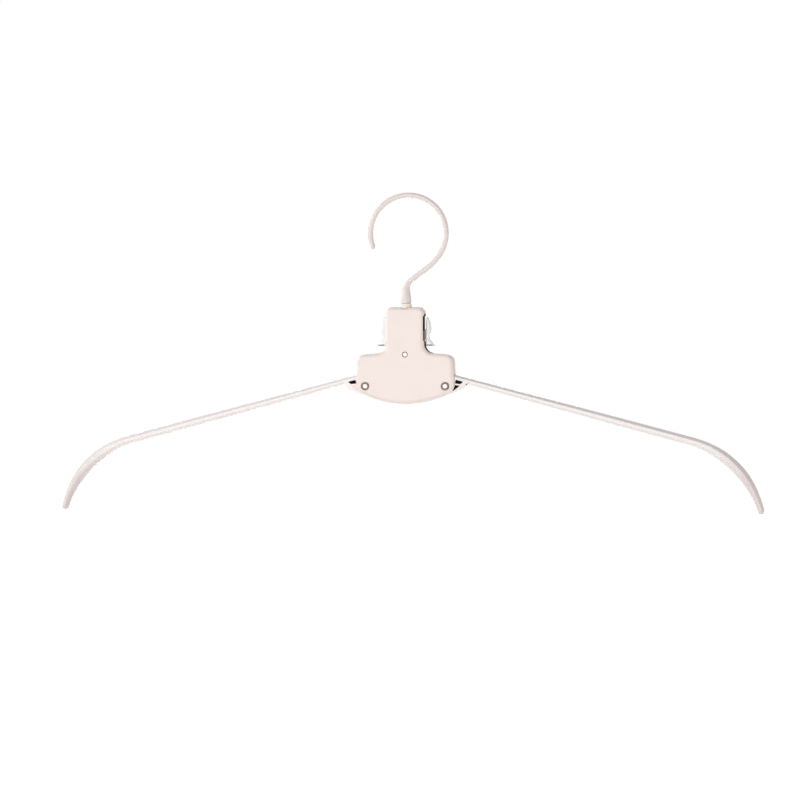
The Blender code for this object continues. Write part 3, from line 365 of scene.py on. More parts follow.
# Studio: height of the floor, and (place, size, power) of each lamp
FLOOR_Z = -1.05
FLOOR_HALF_SIZE = 12.0
FLOOR_GLOW = 0.80
AMBIENT = 0.30
LAMP_TARGET = Vector((0.0, 0.0, -0.12))
LAMPS = {
    "key": (Vector((-1.50, -0.38, 0.50)), 0.7, 13.0),
    "fill": (Vector((1.30, -0.85, -0.35)), 0.9, 6.0),
    "front": (Vector((-0.30, -1.80, -0.20)), 1.0, 11.3),
    "back": (Vector((-0.40, 1.80, -0.10)), 1.0, 15.0),
}

# Finishes: (colour, roughness)
CASING_FINISH = ((0.91, 0.79, 0.735), 0.40)
ARM_FINISH = ((0.93, 0.86, 0.835), 0.36)
# The tabs' cream is lifted towards white as painted light, making up for the neck's shadow on them
TAB_CREAM_AND_PAINTED_LIGHT = ((0.97, 0.95, 0.93), 0.38)
HOOK_FINISH = ((0.83, 0.74, 0.70), 0.34)
BUSH_FINISH = ((0.92, 0.85, 0.78), 0.36)
SLEEVE_FINISH = ((0.85, 0.84, 0.80), 0.5)
# Near-black: painted shade for the casing's insides, its slots, holes and bosses, and the arms' pockets
PAINTED_SHADE_FINISH = ((0.014, 0.010, 0.008), 0.6)
SPRING_FINISH = ((0.46, 0.46, 0.47), 0.3)
DARK_STEEL = (0.14, 0.115, 0.105)
HOOK_RING_FINISH = (DARK_STEEL, 0.4)
PIN_RING_FINISH = (DARK_STEEL, 0.38)
BRIGHT_STEEL = (0.42, 0.36, 0.33)
PIN_FINISH = (BRIGHT_STEEL, 0.30)
SCREW_FINISH = (BRIGHT_STEEL, 0.34)

# Sheen of plain plastic, and of the near-black plastic painted as shade
PLASTIC_SHEEN = 0.5
PAINTED_SHADE_SHEEN = 0.08

# Painted shade at the outer ends of the arms, a grey that multiplies their colour, and where along X it comes
# in
ARM_END_SHADE_GREY = (0.84, 0.80, 0.79)
ARM_END_SHADE_REACH = (0.158, 0.212)

# Floor
FLOOR_GREYS = ((0.86, 0.86, 0.86), (0.88, 0.88, 0.88))
FLOOR_ROUGHNESS = 0.8

# Part of a noise's range that a tint runs over, and shares of a colour that the tints run between
RAMP_ENDS = (0.3, 0.7)
FLOW_SHADES = (0.988, 1.0, 1.006)
STAIN_SHADES = (0.86, 1.0)
SCRATCH_SHADES = (0.8, 1.15)

# Lowest and highest step from a finish's roughness
GRAIN_ROUGHNESS = (-0.03, 0.03)
STAIN_ROUGHNESS = (-0.07, 0.10)
SCRATCH_ROUGHNESS = (-0.08, 0.12)

# Bumps: (distance, strength)
WAVE_BUMP = (0.00002, 0.15)
GRAIN_BUMP = (0.000003, 0.15)
TURNING_BUMP = (0.00001, 0.4)
STAIN_BUMP = (0.00001, 0.3)
SCRATCH_BUMP = (0.00001, 0.4)

# Patterns of the materials: (scale, detail) of each noise, and the inputs of the turned rings
CLOUDS = (70.0, 4.0)
GRAIN = (1500.0, 2.0)
WAVES = (130.0, 1.0)
STAINS = (900.0, 4.0)
SCRATCHES = (4200.0, 5.0)
FLOOR_CLOUDS = (3.0, 3.0)
TURNING = {"Scale": 1700.0, "Distortion": 1.5, "Detail": 2.0}


def at(point, y):
    """A point of the X-Z plane, set at a depth."""
    return Vector((point[0], y, point[1]))


def between(first, second, share):
    return first + (second - first) * share


def smooth(share):
    """Share from 0 to 1 that starts and ends gently."""
    share = min(max(share, 0.0), 1.0)
    return share * share * (3 - 2 * share)


def set_inputs(tree, node, inputs):
    """Link inputs of a node, by name or number, to outputs, or set them to plain values."""
    for name, value in inputs.items():
        if isinstance(value, bpy.types.NodeSocket):
            tree.links.new(value, node.inputs[name])
        else:
            node.inputs[name].default_value = value


def add_node(tree, kind, inputs, output=0, **settings):
    """New shader node with its settings and inputs. Returns one of its outputs."""
    node = tree.nodes.new("ShaderNode" + kind)
    for name, value in settings.items():
        setattr(node, name, value)
    set_inputs(tree, node, inputs)
    return node.outputs[output]


def coordinates(tree):
    return add_node(tree, "TexCoord", {}, "Object")


def noise(tree, pattern):
    inputs = {"Vector": coordinates(tree), "Scale": pattern[0], "Detail": pattern[1]}
    return add_node(tree, "TexNoise", inputs, "Fac")


def spread(tree, value, middle, steps):
    """Map a value from 0 to 1 to a range, its ends a step below and above a middle."""
    inputs = {"Value": value, "To Min": middle + steps[0], "To Max": middle + steps[1]}
    return add_node(tree, "MapRange", inputs, "Result")


def tint(tree, value, colours):
    """Colour ramp over a value, between two or more colours."""
    node = tree.nodes.new("ShaderNodeValToRGB")
    ramp = node.color_ramp
    while len(ramp.elements) < len(colours):
        ramp.elements.new(0.5)
    for k, colour in enumerate(colours):
        ramp.elements[k].position = between(*RAMP_ENDS, k / (len(colours) - 1))
        ramp.elements[k].color = (*colour, 1.0)
    tree.links.new(value, node.inputs["Fac"])
    return node.outputs["Color"]


def bump(tree, heights):
    """Normal from a chain of (height, distance, strength) bumps."""
    inputs = {}
    for height, distance, strength in heights:
        inputs |= {"Height": height, "Distance": distance, "Strength": strength}
        inputs["Normal"] = add_node(tree, "Bump", inputs, "Normal")
    return inputs["Normal"]


def shades(colour, shares):
    return [tuple(min(channel * share, 1.0) for channel in colour) for share in shares]


def material(name, look, *values, **choices):
    """New material, its shader inputs as a look makes them."""
    made = bpy.data.materials.new(name)
    made.use_nodes = True
    tree = made.node_tree
    set_inputs(tree, tree.nodes["Principled BSDF"], look(tree, *values, **choices))
    return made


def greyed_ends(tree, colour):
    """Painted shade: multiply a colour by a grey that comes in along X, towards the outer ends of the arms.
    """
    x = add_node(tree, "SeparateXYZ", {"Vector": coordinates(tree)}, "X")
    away = add_node(tree, "Math", {0: x}, operation="ABSOLUTE")
    start, end = ARM_END_SHADE_REACH
    fade = add_node(tree, "MapRange", {"Value": away, "From Min": start, "From Max": end}, "Result")
    grey = tint(tree, fade, [(1.0, 1.0, 1.0), ARM_END_SHADE_GREY])
    return add_node(tree, "VectorMath", {0: colour, 1: grey}, "Vector", operation="MULTIPLY")


def plastic(tree, colour, roughness, greyed=False, sheen=PLASTIC_SHEEN):
    """Moulded plastic: a fine spark-eroded grain, a slow waviness and faint flow marks, and, where asked,
    painted shade towards the outer ends of the arms.
    """
    tinted = tint(tree, noise(tree, CLOUDS), shades(colour, FLOW_SHADES))
    grain = noise(tree, GRAIN)
    waves = noise(tree, WAVES)
    return {
        "Base Color": greyed_ends(tree, tinted) if greyed else tinted,
        "Roughness": spread(tree, grain, roughness, GRAIN_ROUGHNESS),
        "Specular IOR Level": sheen,
        "Normal": bump(tree, [(waves, *WAVE_BUMP), (grain, *GRAIN_BUMP)]),
    }


def turned_metal(tree, colour, roughness, centre):
    """Metal with fine rings from turning round an axis along Y, and a slight stain."""
    moved = add_node(tree, "Mapping", {"Vector": coordinates(tree), "Location": -at(centre, 0.0)}, "Vector")
    settings = {"wave_type": "RINGS", "rings_direction": "Y"}
    rings = add_node(tree, "TexWave", {"Vector": moved, **TURNING}, "Fac", **settings)
    stain = noise(tree, STAINS)
    return {
        "Base Color": tint(tree, stain, shades(colour, STAIN_SHADES)),
        "Roughness": spread(tree, stain, roughness, STAIN_ROUGHNESS),
        "Metallic": 1.0,
        "Normal": bump(tree, [(rings, *TURNING_BUMP), (stain, *STAIN_BUMP)]),
    }


def drawn_wire(tree, colour, roughness):
    """Steel wire with short scratches."""
    scratches = noise(tree, SCRATCHES)
    return {
        "Base Color": tint(tree, scratches, shades(colour, SCRATCH_SHADES)),
        "Roughness": spread(tree, scratches, roughness, SCRATCH_ROUGHNESS),
        "Metallic": 1.0,
        "Normal": bump(tree, [(scratches, *SCRATCH_BUMP)]),
    }


def matt_paper(tree):
    tinted = tint(tree, noise(tree, FLOOR_CLOUDS), FLOOR_GREYS)
    return {"Base Color": tinted, "Roughness": FLOOR_ROUGHNESS, "Specular IOR Level": 0.0}


def shade(mesh):
    """Smooth shading where the faces meet at a low angle."""
    mesh.shade_smooth()
    mesh.set_sharp_from_angle(angle=SHARP_ANGLE)


def add_object(name, bm, *finishes):
    """Mesh object from a bmesh, its faces outward."""
    bmesh.ops.recalc_face_normals(bm, faces=bm.faces[:])
    mesh = bpy.data.meshes.new(name)
    bm.to_mesh(mesh)
    bm.free()
    shade(mesh)
    made = bpy.data.objects.new(name, mesh)
    bpy.context.collection.objects.link(made)
    for finish in finishes:
        mesh.materials.append(finish)
    return made


def loft(rings, closed=False, hidden=()):
    """Skin over rings of points. Bands named in hidden, and the end cap, take the second finish."""
    bm = bmesh.new()
    rows = [[bm.verts.new(point) for point in ring] for ring in rings]
    pairs = list(zip(rows, rows[1:]))
    if closed:
        pairs.append((rows[-1], rows[0]))
    else:
        bm.faces.new(rows[0])
        bm.faces.new(rows[-1]).material_index = 1 if hidden else 0
    for band, (first, second) in enumerate(pairs):
        for i in range(len(first)):
            j = (i + 1) % len(first)
            face = bm.faces.new((first[i], first[j], second[j], second[i]))
            face.material_index = 1 if band in hidden else 0
    return bm


def prism(name, outline, near_y, far_y, *finishes):
    """Plate with an X-Z outline between two depths."""
    rings = [[at(point, y) for point in outline] for y in (near_y, far_y)]
    return add_object(name, loft(rings), *finishes)


def rectangle(first_x, first_z, last_x, last_z):
    corners = ((first_x, first_z), (last_x, first_z), (last_x, last_z), (first_x, last_z))
    return [Vector(corner) for corner in corners]


def with_neighbours(outline):
    """(before, here, after) triples round a closed outline."""
    return list(zip(outline[-1:] + outline[:-1], outline, outline[1:] + outline[:1]))


def inset(outline, distance):
    """Outline moved inward by a distance."""
    triples = with_neighbours(outline)
    side = copysign(1.0, sum(here.x * after.y - after.x * here.y for _, here, after in triples))
    moved = []
    for before, here, after in triples:
        first = (here - before).normalized()
        second = (after - here).normalized()
        across = Vector((-first.y - second.y, first.x + second.x)).normalized() * side
        lean = max(across.dot(Vector((-first.y, first.x))) * side, LEAST_LEAN)
        moved.append(here + across * (distance / lean))
    return moved


def soften(outline, radius, steps=6):
    """Outline with its sharp corners rounded."""
    softened = []
    for before, here, after in with_neighbours(outline):
        turn = (here - before).angle(after - here)
        if turn < SHARP_ANGLE:
            softened.append(here)
            continue
        reach = radius * tan(turn / 2)
        start, end = (
            here + (there - here).normalized() * min(reach, (there - here).length * CORNER_REACH)
            for there in (before, after)
        )
        for k in range(steps + 1):
            t = k / steps
            softened.append(start * (1 - t) ** 2 + here * (2 * t * (1 - t)) + end * t * t)
    return softened


def quarter_round(edge, steps):
    """Pairs over a rounded edge, from a face to the side: the distance in from each of the two."""
    angles = [pi / 2 * k / steps for k in range(steps + 1)]
    return [(edge * (1 - sin(angle)), edge * (1 - cos(angle))) for angle in angles]


def plate(name, outline, near_y, far_y, edge, *finishes):
    """Plate between two depths, near the lower, with rounded edges."""
    quarter = quarter_round(edge, EDGE_STEPS // 2)
    sections = [(aside, near_y + drop) for aside, drop in quarter]
    sections += [(aside, far_y - drop) for aside, drop in reversed(quarter)]
    rings = [[at(point, y) for point in inset(outline, aside)] for aside, y in sections]
    return add_object(name, loft(rings), *finishes)


def turned(name, stations, centre, axis, *finishes, hollow=False):
    """Round piece from (place along the axis, radius) stations. A hollow one returns along its bore."""
    rings = []
    for place, radius in stations:
        ring = []
        for out, up in oval(ROUND_SIDES):
            x, other = centre[0] + radius * out, centre[1] + radius * up
            ring.append(Vector((x, place, other) if axis == "Y" else (x, other, place)))
        rings.append(ring)
    return add_object(name, loft(rings, closed=hollow), *finishes)


def boolean(target, others, operation):
    """Join pieces to the target, or cut them from it, and take the pieces away."""
    for other in others:
        step = target.modifiers.new(operation, "BOOLEAN")
        step.operation = operation
        step.solver = "EXACT"
        step.material_mode = "TRANSFER"
        step.object = other
        bpy.context.view_layer.update()
        shape = target.evaluated_get(bpy.context.evaluated_depsgraph_get())
        mesh = bpy.data.meshes.new_from_object(shape)
        target.modifiers.clear()
        target.data = mesh
        bpy.data.objects.remove(other, do_unlink=True)
    shade(target.data)


def cut(target, *cutters):
    boolean(target, cutters, "DIFFERENCE")


def join(target, *pieces):
    boolean(target, pieces, "UNION")


def cylinder(centre, radius, near_y, far_y, *finishes):
    """Round cutter or boss along Y, centred on a point of the X-Z plane."""
    return turned("boss", [(near_y, radius), (far_y, radius)], centre, "Y", *finishes)


def drill(target, places, radius, near_y, far_y, *finishes):
    for place in places:
        cut(target, cylinder(place, radius, near_y, far_y, *finishes))


def sink(cover, places, radius, seat_y, side, finish):
    """Sink seats in a cover's outer face, with a chamfer where they meet it."""
    face, past = HALF_DEPTH - HOLE_CHAMFER, HALF_DEPTH + OVERCUT
    wide = radius + HOLE_CHAMFER + OVERCUT
    stations = [(side * seat_y, radius), (side * face, radius), (side * past, wide)]
    for place in places:
        cut(cover, turned("seat", stations, place, "Y", finish))


def arc(centre, radius, start, end, steps):
    return [polar(centre, radius, start + (end - start) * k / steps) for k in range(steps + 1)]


def flow_through(points, steps):
    """Smooth curve through points, with a few steps between each two."""
    ends = [2 * points[0] - points[1]] + points + [2 * points[-1] - points[-2]]
    curve = []
    for before, start, end, after in zip(ends, ends[1:], ends[2:], ends[3:]):
        for k in range(steps):
            t = k / steps
            curve.append(
                start
                + (end - before) * (t / 2)
                + (2 * before - 5 * start + 4 * end - after) * (t * t / 2)
                + (3 * start - before - 3 * end + after) * (t**3 / 2)
            )
    return curve + [points[-1]]


def rounded(corners):
    """Outline of (point, radius, steps) corners as (place, outward direction) pairs, clockwise."""
    outline = []
    for index, (point, radius, steps) in enumerate(corners):
        before = (corners[index - 1][0] - point).normalized()
        after = (corners[(index + 1) % len(corners)][0] - point).normalized()
        half = before.angle(after) / 2
        centre = point + (before + after).normalized() * (radius / sin(half))
        start = point + before * (radius / tan(half)) - centre
        turn = pi - 2 * half
        convex = before.x * after.y - before.y * after.x > 0
        for k in range(steps + 1):
            angle = turn * k / steps
            arm = Matrix.Rotation(-angle if convex else angle, 2) @ start
            outward = arm.normalized() if convex else -arm.normalized()
            outline.append((centre + arm, outward))
    return outline


def oval(sides, first=0.5):
    """Unit round section, its first corner at a share of one side."""
    angles = [2 * pi * (k + first) / sides for k in range(sides)]
    return [(cos(angle), sin(angle)) for angle in angles]


def bevelled(share):
    """Section of an arm, a flat face at each side between two bevels, share of the way along it."""
    start, end = ARM_FLAT_NARROWS
    flat = between(ARM_FLAT, ARM_TIP_FLAT, smooth((share - start) / (end - start)))
    quarter = [(1.0, ARM_WALL), (flat, 1.0)]
    half = quarter + [(-up, out) for up, out in reversed(quarter)]
    corners = half + [(-up, -out) for up, out in half]
    return soften([Vector(corner) for corner in corners], ARM_CORNER)


def sweep(name, stations, sections, *finishes):
    """Bar along (centre, across, deep, half height, half depth) stations, with a unit section for each."""
    rings = []
    for (centre, across, deep, high, wide), section in zip(stations, sections):
        rings.append([centre + across * (up * high) + deep * (out * wide) for up, out in section])
    return add_object(name, loft(rings), *finishes)


def heading_at(route, index):
    """Direction of a route at one of its places."""
    before, after = route[max(index - 1, 0)], route[min(index + 1, len(route) - 1)]
    return (after - before).normalized()


def casing_outline():
    """Outline of the casing from the top of the neck, clockwise as seen from the front."""
    side_top_x = BODY_HALF_WIDTH - BODY_SIDE_LEAN
    side_top_z = SHOULDER_Z - (side_top_x - NECK_HALF_WIDTH) * tan(SHOULDER_SLOPE)
    right = (
        (NECK_HALF_WIDTH, NECK_TOP_Z, NECK_CORNER_RADIUS),
        (NECK_HALF_WIDTH, SHOULDER_Z, NECK_FILLET_RADIUS),
        (side_top_x, side_top_z, SHOULDER_CORNER_RADIUS),
        (BODY_HALF_WIDTH, BELLY_CORNER_Z, BELLY_CORNER_RADIUS),
    )
    corners = [(Vector((x, z)), radius, CORNER_STEPS) for x, z, radius in right]
    corners.append((Vector((0.0, BELLY_POINT_Z)), BELLY_RADIUS, BELLY_STEPS))
    corners += [(Vector((-x, z)), radius, CORNER_STEPS) for x, z, radius in reversed(right)]
    return rounded(corners)


def shell(name, side, finish, painted_shade):
    """Half of the casing: a plate with a rounded edge and a rim that ends at the parting plane. The plate's
    inner face and the rim's inner wall take the near-black painted shade.
    """
    sections = [(away, HALF_DEPTH - drop) for away, drop in quarter_round(EDGE_RADIUS, EDGE_STEPS)]
    sections += [(0.0, SEAM + SEAM_CHAMFER), (SEAM_CHAMFER, SEAM), (WALL, SEAM), (WALL, CAVITY)]
    outline = casing_outline()
    rings = [[at(place - outward * away, side * y) for place, outward in outline] for away, y in sections]
    return add_object(name, loft(rings, hidden=(len(sections) - 2,)), finish, painted_shade)


def rim_cutter(name, side_x, corners, half_depth, skin):
    """Cutter right through the rims, on the right side or mirrored to the left."""
    return prism(name, [Vector((side_x * x, z)) for x, z in corners], -half_depth, half_depth, skin)


def lever_slot(side_x, skin):
    """Opening of the rims beside the neck, round the fillet, for a lever."""
    inner = NECK_HALF_WIDTH - WALL - CLEARANCE
    outer = NECK_HALF_WIDTH + NECK_FILLET_RADIUS - CLEARANCE
    foot = SHOULDER_Z - WALL - LEVER_SLOT_BELOW
    return rim_cutter("slot", side_x, rectangle(inner, LEVER_SLOT_TOP_Z, outer, foot), CAVITY, skin)


def slot_relief(side_x, skin):
    """Shallow cut through the whole edge of the neck along a lever's slot, for the finger tab."""
    inner, outer = NECK_HALF_WIDTH - SLOT_RELIEF, NECK_HALF_WIDTH + OVERCUT
    ramp = SLOT_RELIEF + OVERCUT
    top, foot = LEVER_SLOT_TOP_Z, SHOULDER_Z + NECK_FILLET_RADIUS
    corners = [(outer, top), (outer, foot), (inner, foot + ramp), (inner, top - ramp)]
    return rim_cutter("relief", side_x, corners, HALF_DEPTH + OVERCUT, skin)


def arm_opening(side_x, skin):
    """Opening of the rims from the side of the body round its lower corner, where an arm swings."""
    top_rise = ARM_RISE + ARM_ROOT_HEIGHT / 2 + CLEARANCE
    past_side = (BODY_SIDE_MARGIN + OVERCUT) / ALONG.x
    inner, outer = arm_place(-ARM_OPENING_BACK, top_rise), arm_place(past_side, top_rise)
    left = ARM_PIVOT_X - PINION_TIP - ARM_SWING_ROOM
    foot = BELLY_Z - OVERCUT
    corners = [inner, outer, (outer.x, foot), (left, foot), (left, inner.y)]
    return rim_cutter("opening", side_x, corners, CAVITY, skin)


def swivel_block(side, skin):
    """Thick part of the neck's top that the swivel bush runs in."""
    corners = rectangle(-BLOCK_HALF_WIDTH, BLOCK_FOOT_Z, BLOCK_HALF_WIDTH, NECK_TOP_Z - WALL / 2)
    return prism("block", corners, side * SEAM, side * PLATE_MIDDLE, skin)


def swivel_cutters():
    """Hole and seat of the swivel bush, and the dip of the neck's top round its collar."""
    hole, seat = BUSH_BODY_RADIUS + CLEARANCE, COLLAR_RADIUS + CLEARANCE
    below, above = BLOCK_FOOT_Z - OVERCUT, NECK_TOP_Z + OVERCUT
    stations = [(below, hole), (COLLAR_SEAT_Z, hole), (COLLAR_SEAT_Z, seat), (above, seat)]
    dip_radius = (seat**2 + COLLAR_SEAT_DEPTH**2) / (2 * COLLAR_SEAT_DEPTH)
    beyond = HALF_DEPTH + OVERCUT
    dip = cylinder((0.0, COLLAR_SEAT_Z + dip_radius), dip_radius, -beyond, beyond)
    return turned("bore", stations, (0.0, 0.0), "Z"), dip


def make_cover(name, side, finish, painted_shade):
    """Half of the casing with its openings, its screw bosses and the holes of the pins. The lever slots, the
    right relief, the swivel block, the bosses and the holes carry painted shade; the left relief and the arm
    openings keep the casing's cream.
    """
    cover = shell(name, side, finish, painted_shade)
    for side_x in (1, -1):
        relief_skin_shaded_right = painted_shade if side_x > 0 else finish
        cut(cover, lever_slot(side_x, painted_shade), slot_relief(side_x, relief_skin_shaded_right), arm_opening(side_x, finish))
    join(cover, swivel_block(side, painted_shade))
    cut(cover, *swivel_cutters())
    for place in SCREWS:
        join(cover, cylinder(place, SCREW_BOSS_RADIUS, side * SEAM, side * PLATE_MIDDLE, painted_shade))
    beyond = side * (HALF_DEPTH + OVERCUT)
    drill(cover, ARM_PIVOTS, PIN_HOLE_RADIUS, side * SEAM, beyond, painted_shade)
    drill(cover, [CENTRE_PIN], CENTRE_HOLE_RADIUS, side * SEAM, beyond, painted_shade)
    return cover


def make_front_cover(finish, painted_shade):
    cover = make_cover("front_casing", -1, finish, painted_shade)
    sink(cover, [CENTRE_PIN], CENTRE_HOLE_RADIUS, HALF_DEPTH - 2 * HOLE_CHAMFER, -1, finish)
    sink(cover, ARM_PIVOTS, PIN_RING_RADIUS + CLEARANCE, RING_SEAT_Y, -1, finish)
    # The screw holes are lined with painted shade.
    drill(cover, SCREWS, SCREW_RADIUS + CLEARANCE, -CAVITY - SCREW_POINT, 0.0, painted_shade)
    return cover


def make_back_cover(finish, painted_shade):
    cover = make_cover("back_casing", 1, finish, painted_shade)
    sink(cover, [CENTRE_PIN, *ARM_PIVOTS], PIN_HEAD_RADIUS + CLEARANCE, HEAD_SEAT_Y, 1, finish)
    # The screw holes are lined with painted shade.
    drill(cover, SCREWS, SCREW_RADIUS + CLEARANCE, 0.0, HALF_DEPTH + OVERCUT, painted_shade)
    sink(cover, SCREWS, SCREW_HEAD_RADIUS + CLEARANCE, SCREW_SEAT_Y, 1, finish)
    return cover


def hook_route():
    """Places down the middle of the hook's wire, from its tip to the foot of the stem."""
    route = arc(LOOP_CENTRE, HOOK_RADIUS, HOOK_TIP_ANGLE, HOOK_WIDE_BEND_ANGLE, LOOP_STEPS)
    route += arc(WIDE_BEND_CENTRE, HOOK_WIDE_BEND_RADIUS, HOOK_WIDE_BEND_ANGLE, -HOOK_SLOPE, BEND_STEPS)[1:]
    route.append((WIDE_BEND_END + FOOT_BEND_START) / 2)
    route += arc(FOOT_BEND_CENTRE, HOOK_FOOT_BEND_RADIUS, pi - HOOK_SLOPE, pi, BEND_STEPS)
    for k in range(1, STEM_STEPS + 1):
        route.append(Vector((0.0, STEM_TOP_Z - STEM_LENGTH * k / STEM_STEPS)))
    return route


def make_hook(finish):
    """Hook with a rounded tip, a stem that widens, and the thin shank that turns in the bush."""
    route = hook_route()
    lengths = [(b - a).length for a, b in zip(route, route[1:])]
    taper_start = sum(lengths) - STEM_PLAIN_LENGTH - STEM_TAPER_LENGTH
    stations = []
    for index, place in enumerate(route):
        heading = heading_at(route, index)
        widening = smooth((sum(lengths[:index]) - taper_start) / STEM_TAPER_LENGTH)
        radius = between(HOOK_WIRE_RADIUS, STEM_RADIUS, widening) - SKIN
        stations.append((at(place, 0.0), Vector((-heading.y, 0.0, heading.x)), DEEP, radius, radius))
    tip, across, _, tip_radius, _ = stations[0]
    backward = (tip - stations[1][0]).normalized()
    cap = []
    for turn in reversed(TIP_ROUNDING):
        radius = tip_radius * cos(turn)
        cap.append((tip + backward * (tip_radius * sin(turn)), across, DEEP, radius, radius))
    across = stations.pop()[1]
    foot = (
        (STEM_FOOT_Z + STEM_CHAMFER, STEM_RADIUS),
        (STEM_FOOT_Z, STEM_RADIUS - STEM_CHAMFER),
        (STEM_FOOT_Z, SHANK_RADIUS),
        (SHANK_FOOT_Z, SHANK_RADIUS),
    )
    stations = cap + stations + [(at((0.0, z), 0.0), across, DEEP, radius, radius) for z, radius in foot]
    return sweep("hook_moulding", stations, [oval(HOOK_SIDES)] * len(stations), finish)


def make_hook_bush(finish):
    bore = SHANK_RADIUS + CLEARANCE
    collar_foot = COLLAR_SEAT_Z + CLEARANCE
    edge = HOLE_CHAMFER
    top = COLLAR_TOP_Z + COLLAR_LIFT
    stations = [
        (top - edge, bore),
        (top, bore + edge),
        (top, COLLAR_RADIUS - edge),
        (top - edge, COLLAR_RADIUS),
        (collar_foot + edge, COLLAR_RADIUS),
        (collar_foot, COLLAR_RADIUS - edge),
        (collar_foot, BUSH_BODY_RADIUS),
        (BUSH_FLANGE_Z, BUSH_BODY_RADIUS),
        (BUSH_FLANGE_Z, BUSH_FLANGE_RADIUS),
        (BUSH_FOOT_Z, BUSH_FLANGE_RADIUS),
        (BUSH_FOOT_Z, bore),
    ]
    return turned("swivel_bush", stations, (0.0, 0.0), "Z", finish, hollow=True)


def washer(name, top, foot, bore, radius, edge, centre, axis, finish):
    """Washer between two places along its axis, its outer edges chamfered."""
    inward = copysign(edge, foot - top)
    stations = [
        (top, bore),
        (top, radius - edge),
        (top + inward, radius),
        (foot - inward, radius),
        (foot, radius - edge),
        (foot, bore),
    ]
    return turned(name, stations, centre, axis, finish, hollow=True)


def make_hook_retaining_ring(finish):
    foot, bore = SHANK_RING_Z - SHANK_RING_THICKNESS, SHANK_RADIUS + CLEARANCE
    sizes = (SHANK_RING_Z, foot, bore, SHANK_RING_RADIUS, RING_EDGE)
    return washer("hook_push_ring", *sizes, (0.0, 0.0), "Z", finish)


def make_sleeve(finish):
    half = LEVER_INNER_Y - CLEARANCE
    sizes = (half, -half, CENTRE_HOLE_RADIUS, SLEEVE_RADIUS, RING_EDGE)
    return washer("spring_spacer", *sizes, CENTRE_PIN, "Y", finish)


def make_pin_ring(name, place, finish):
    """Push-on ring with slots that open into its bore."""
    front, back = -SUNK_FACE_Y, PIN_RING_THICKNESS - SUNK_FACE_Y
    ring = washer(name, back, front, PIN_HOLE_RADIUS, PIN_RING_RADIUS, PIN_RING_EDGE, place, "Y", finish)
    for k in range(RING_SLOTS):
        heading = polar((0.0, 0.0), 1.0, pi / 2 + 2 * pi * k / RING_SLOTS)
        aside = Vector((-heading.y, heading.x)) * RING_SLOT_HALF_WIDTH
        inner = place + heading * (PIN_HOLE_RADIUS / 2)
        outer = place + heading * (PIN_HOLE_RADIUS + RING_SLOT_REACH)
        corners = [inner - aside, outer - aside, outer + aside, inner + aside]
        cut(ring, prism("slot", corners, front - OVERCUT, back + OVERCUT, finish))
    return ring


def involute(angle):
    return tan(angle) - angle


def tooth(pitch_radius, tip_radius, root_radius, tooth_angle):
    """Outline of one involute tooth as (angle from its middle, radius) pairs, in turning order."""
    base_radius = pitch_radius * cos(PRESSURE_ANGLE)
    half_at_pitch = tooth_angle / 4 - BACKLASH / 2 / pitch_radius
    lowest = max(base_radius, root_radius)
    flank = []
    for k in range(FLANK_STEPS + 1):
        radius = between(lowest, tip_radius, k / FLANK_STEPS)
        lean = involute(acos(min(base_radius / radius, 1.0)))
        flank.append((half_at_pitch + involute(PRESSURE_ANGLE) - lean, radius))
    if root_radius < lowest:
        flank.insert(0, (flank[0][0], root_radius))
    return [(-angle, radius) for angle, radius in flank] + list(reversed(flank))


def teeth(centre, facing, places, tooth_angle, *radii):
    """Outline over teeth at their places from the line that the gears mesh on."""
    outline = []
    for place in places:
        middle = facing + place * tooth_angle
        outline += [polar(centre, radius, middle + angle) for angle, radius in tooth(*radii, tooth_angle)]
    return outline


def make_pinion(finish):
    """Hub of the right arm: a disc whose teeth face the centre pin as the arm folds."""
    root = PINION_RADIUS - TOOTH_DEPTH_SHARE * GEAR_MODULE
    facing = TO_ARM_ANGLE + pi
    first = facing + (ARM_TEETH[0] - 0.5) * PINION_PITCH_ANGLE
    last = facing + (ARM_TEETH[-1] + 0.5) * PINION_PITCH_ANGLE
    outline = teeth(ARM_PIVOT, facing, ARM_TEETH, PINION_PITCH_ANGLE, PINION_RADIUS, PINION_TIP, root)
    outline.append(polar(ARM_PIVOT, root, last))
    outline += arc(ARM_PIVOT, ARM_HUB_RADIUS, last, first + 2 * pi, HUB_STEPS)
    outline.append(polar(ARM_PIVOT, root, first))
    return prism("pinion", outline, -HUB_HALF_DEPTH, HUB_HALF_DEPTH, finish)


def arm_place(along, rise):
    """Point by its distances along and square to the right arm, from the arm's pivot."""
    return ARM_PIVOT + along * ALONG + rise * RISE


def make_flare(finish):
    """Web between the hub and the bar at the right arm's root."""
    knee = Vector(ARM_FLARE_KNEE)
    touching = atan2(knee.y, knee.x) - acos(ARM_HUB_RADIUS / knee.length)
    corners = (
        (0.0, 0.0),
        polar((0.0, 0.0), ARM_HUB_RADIUS, touching),
        knee,
        (ARM_FLARE_LENGTH, ARM_RISE - ARM_ROOT_HEIGHT / 2 + ARM_FLARE_OVERLAP),
        (ARM_FLARE_LENGTH - ARM_FLARE_CHAMFER, ARM_RISE),
        (0.0, ARM_RISE),
    )
    outline = [arm_place(along, rise) for along, rise in corners]
    return plate("flare", outline, -HUB_HALF_DEPTH, HUB_HALF_DEPTH, FLARE_EDGE, finish)


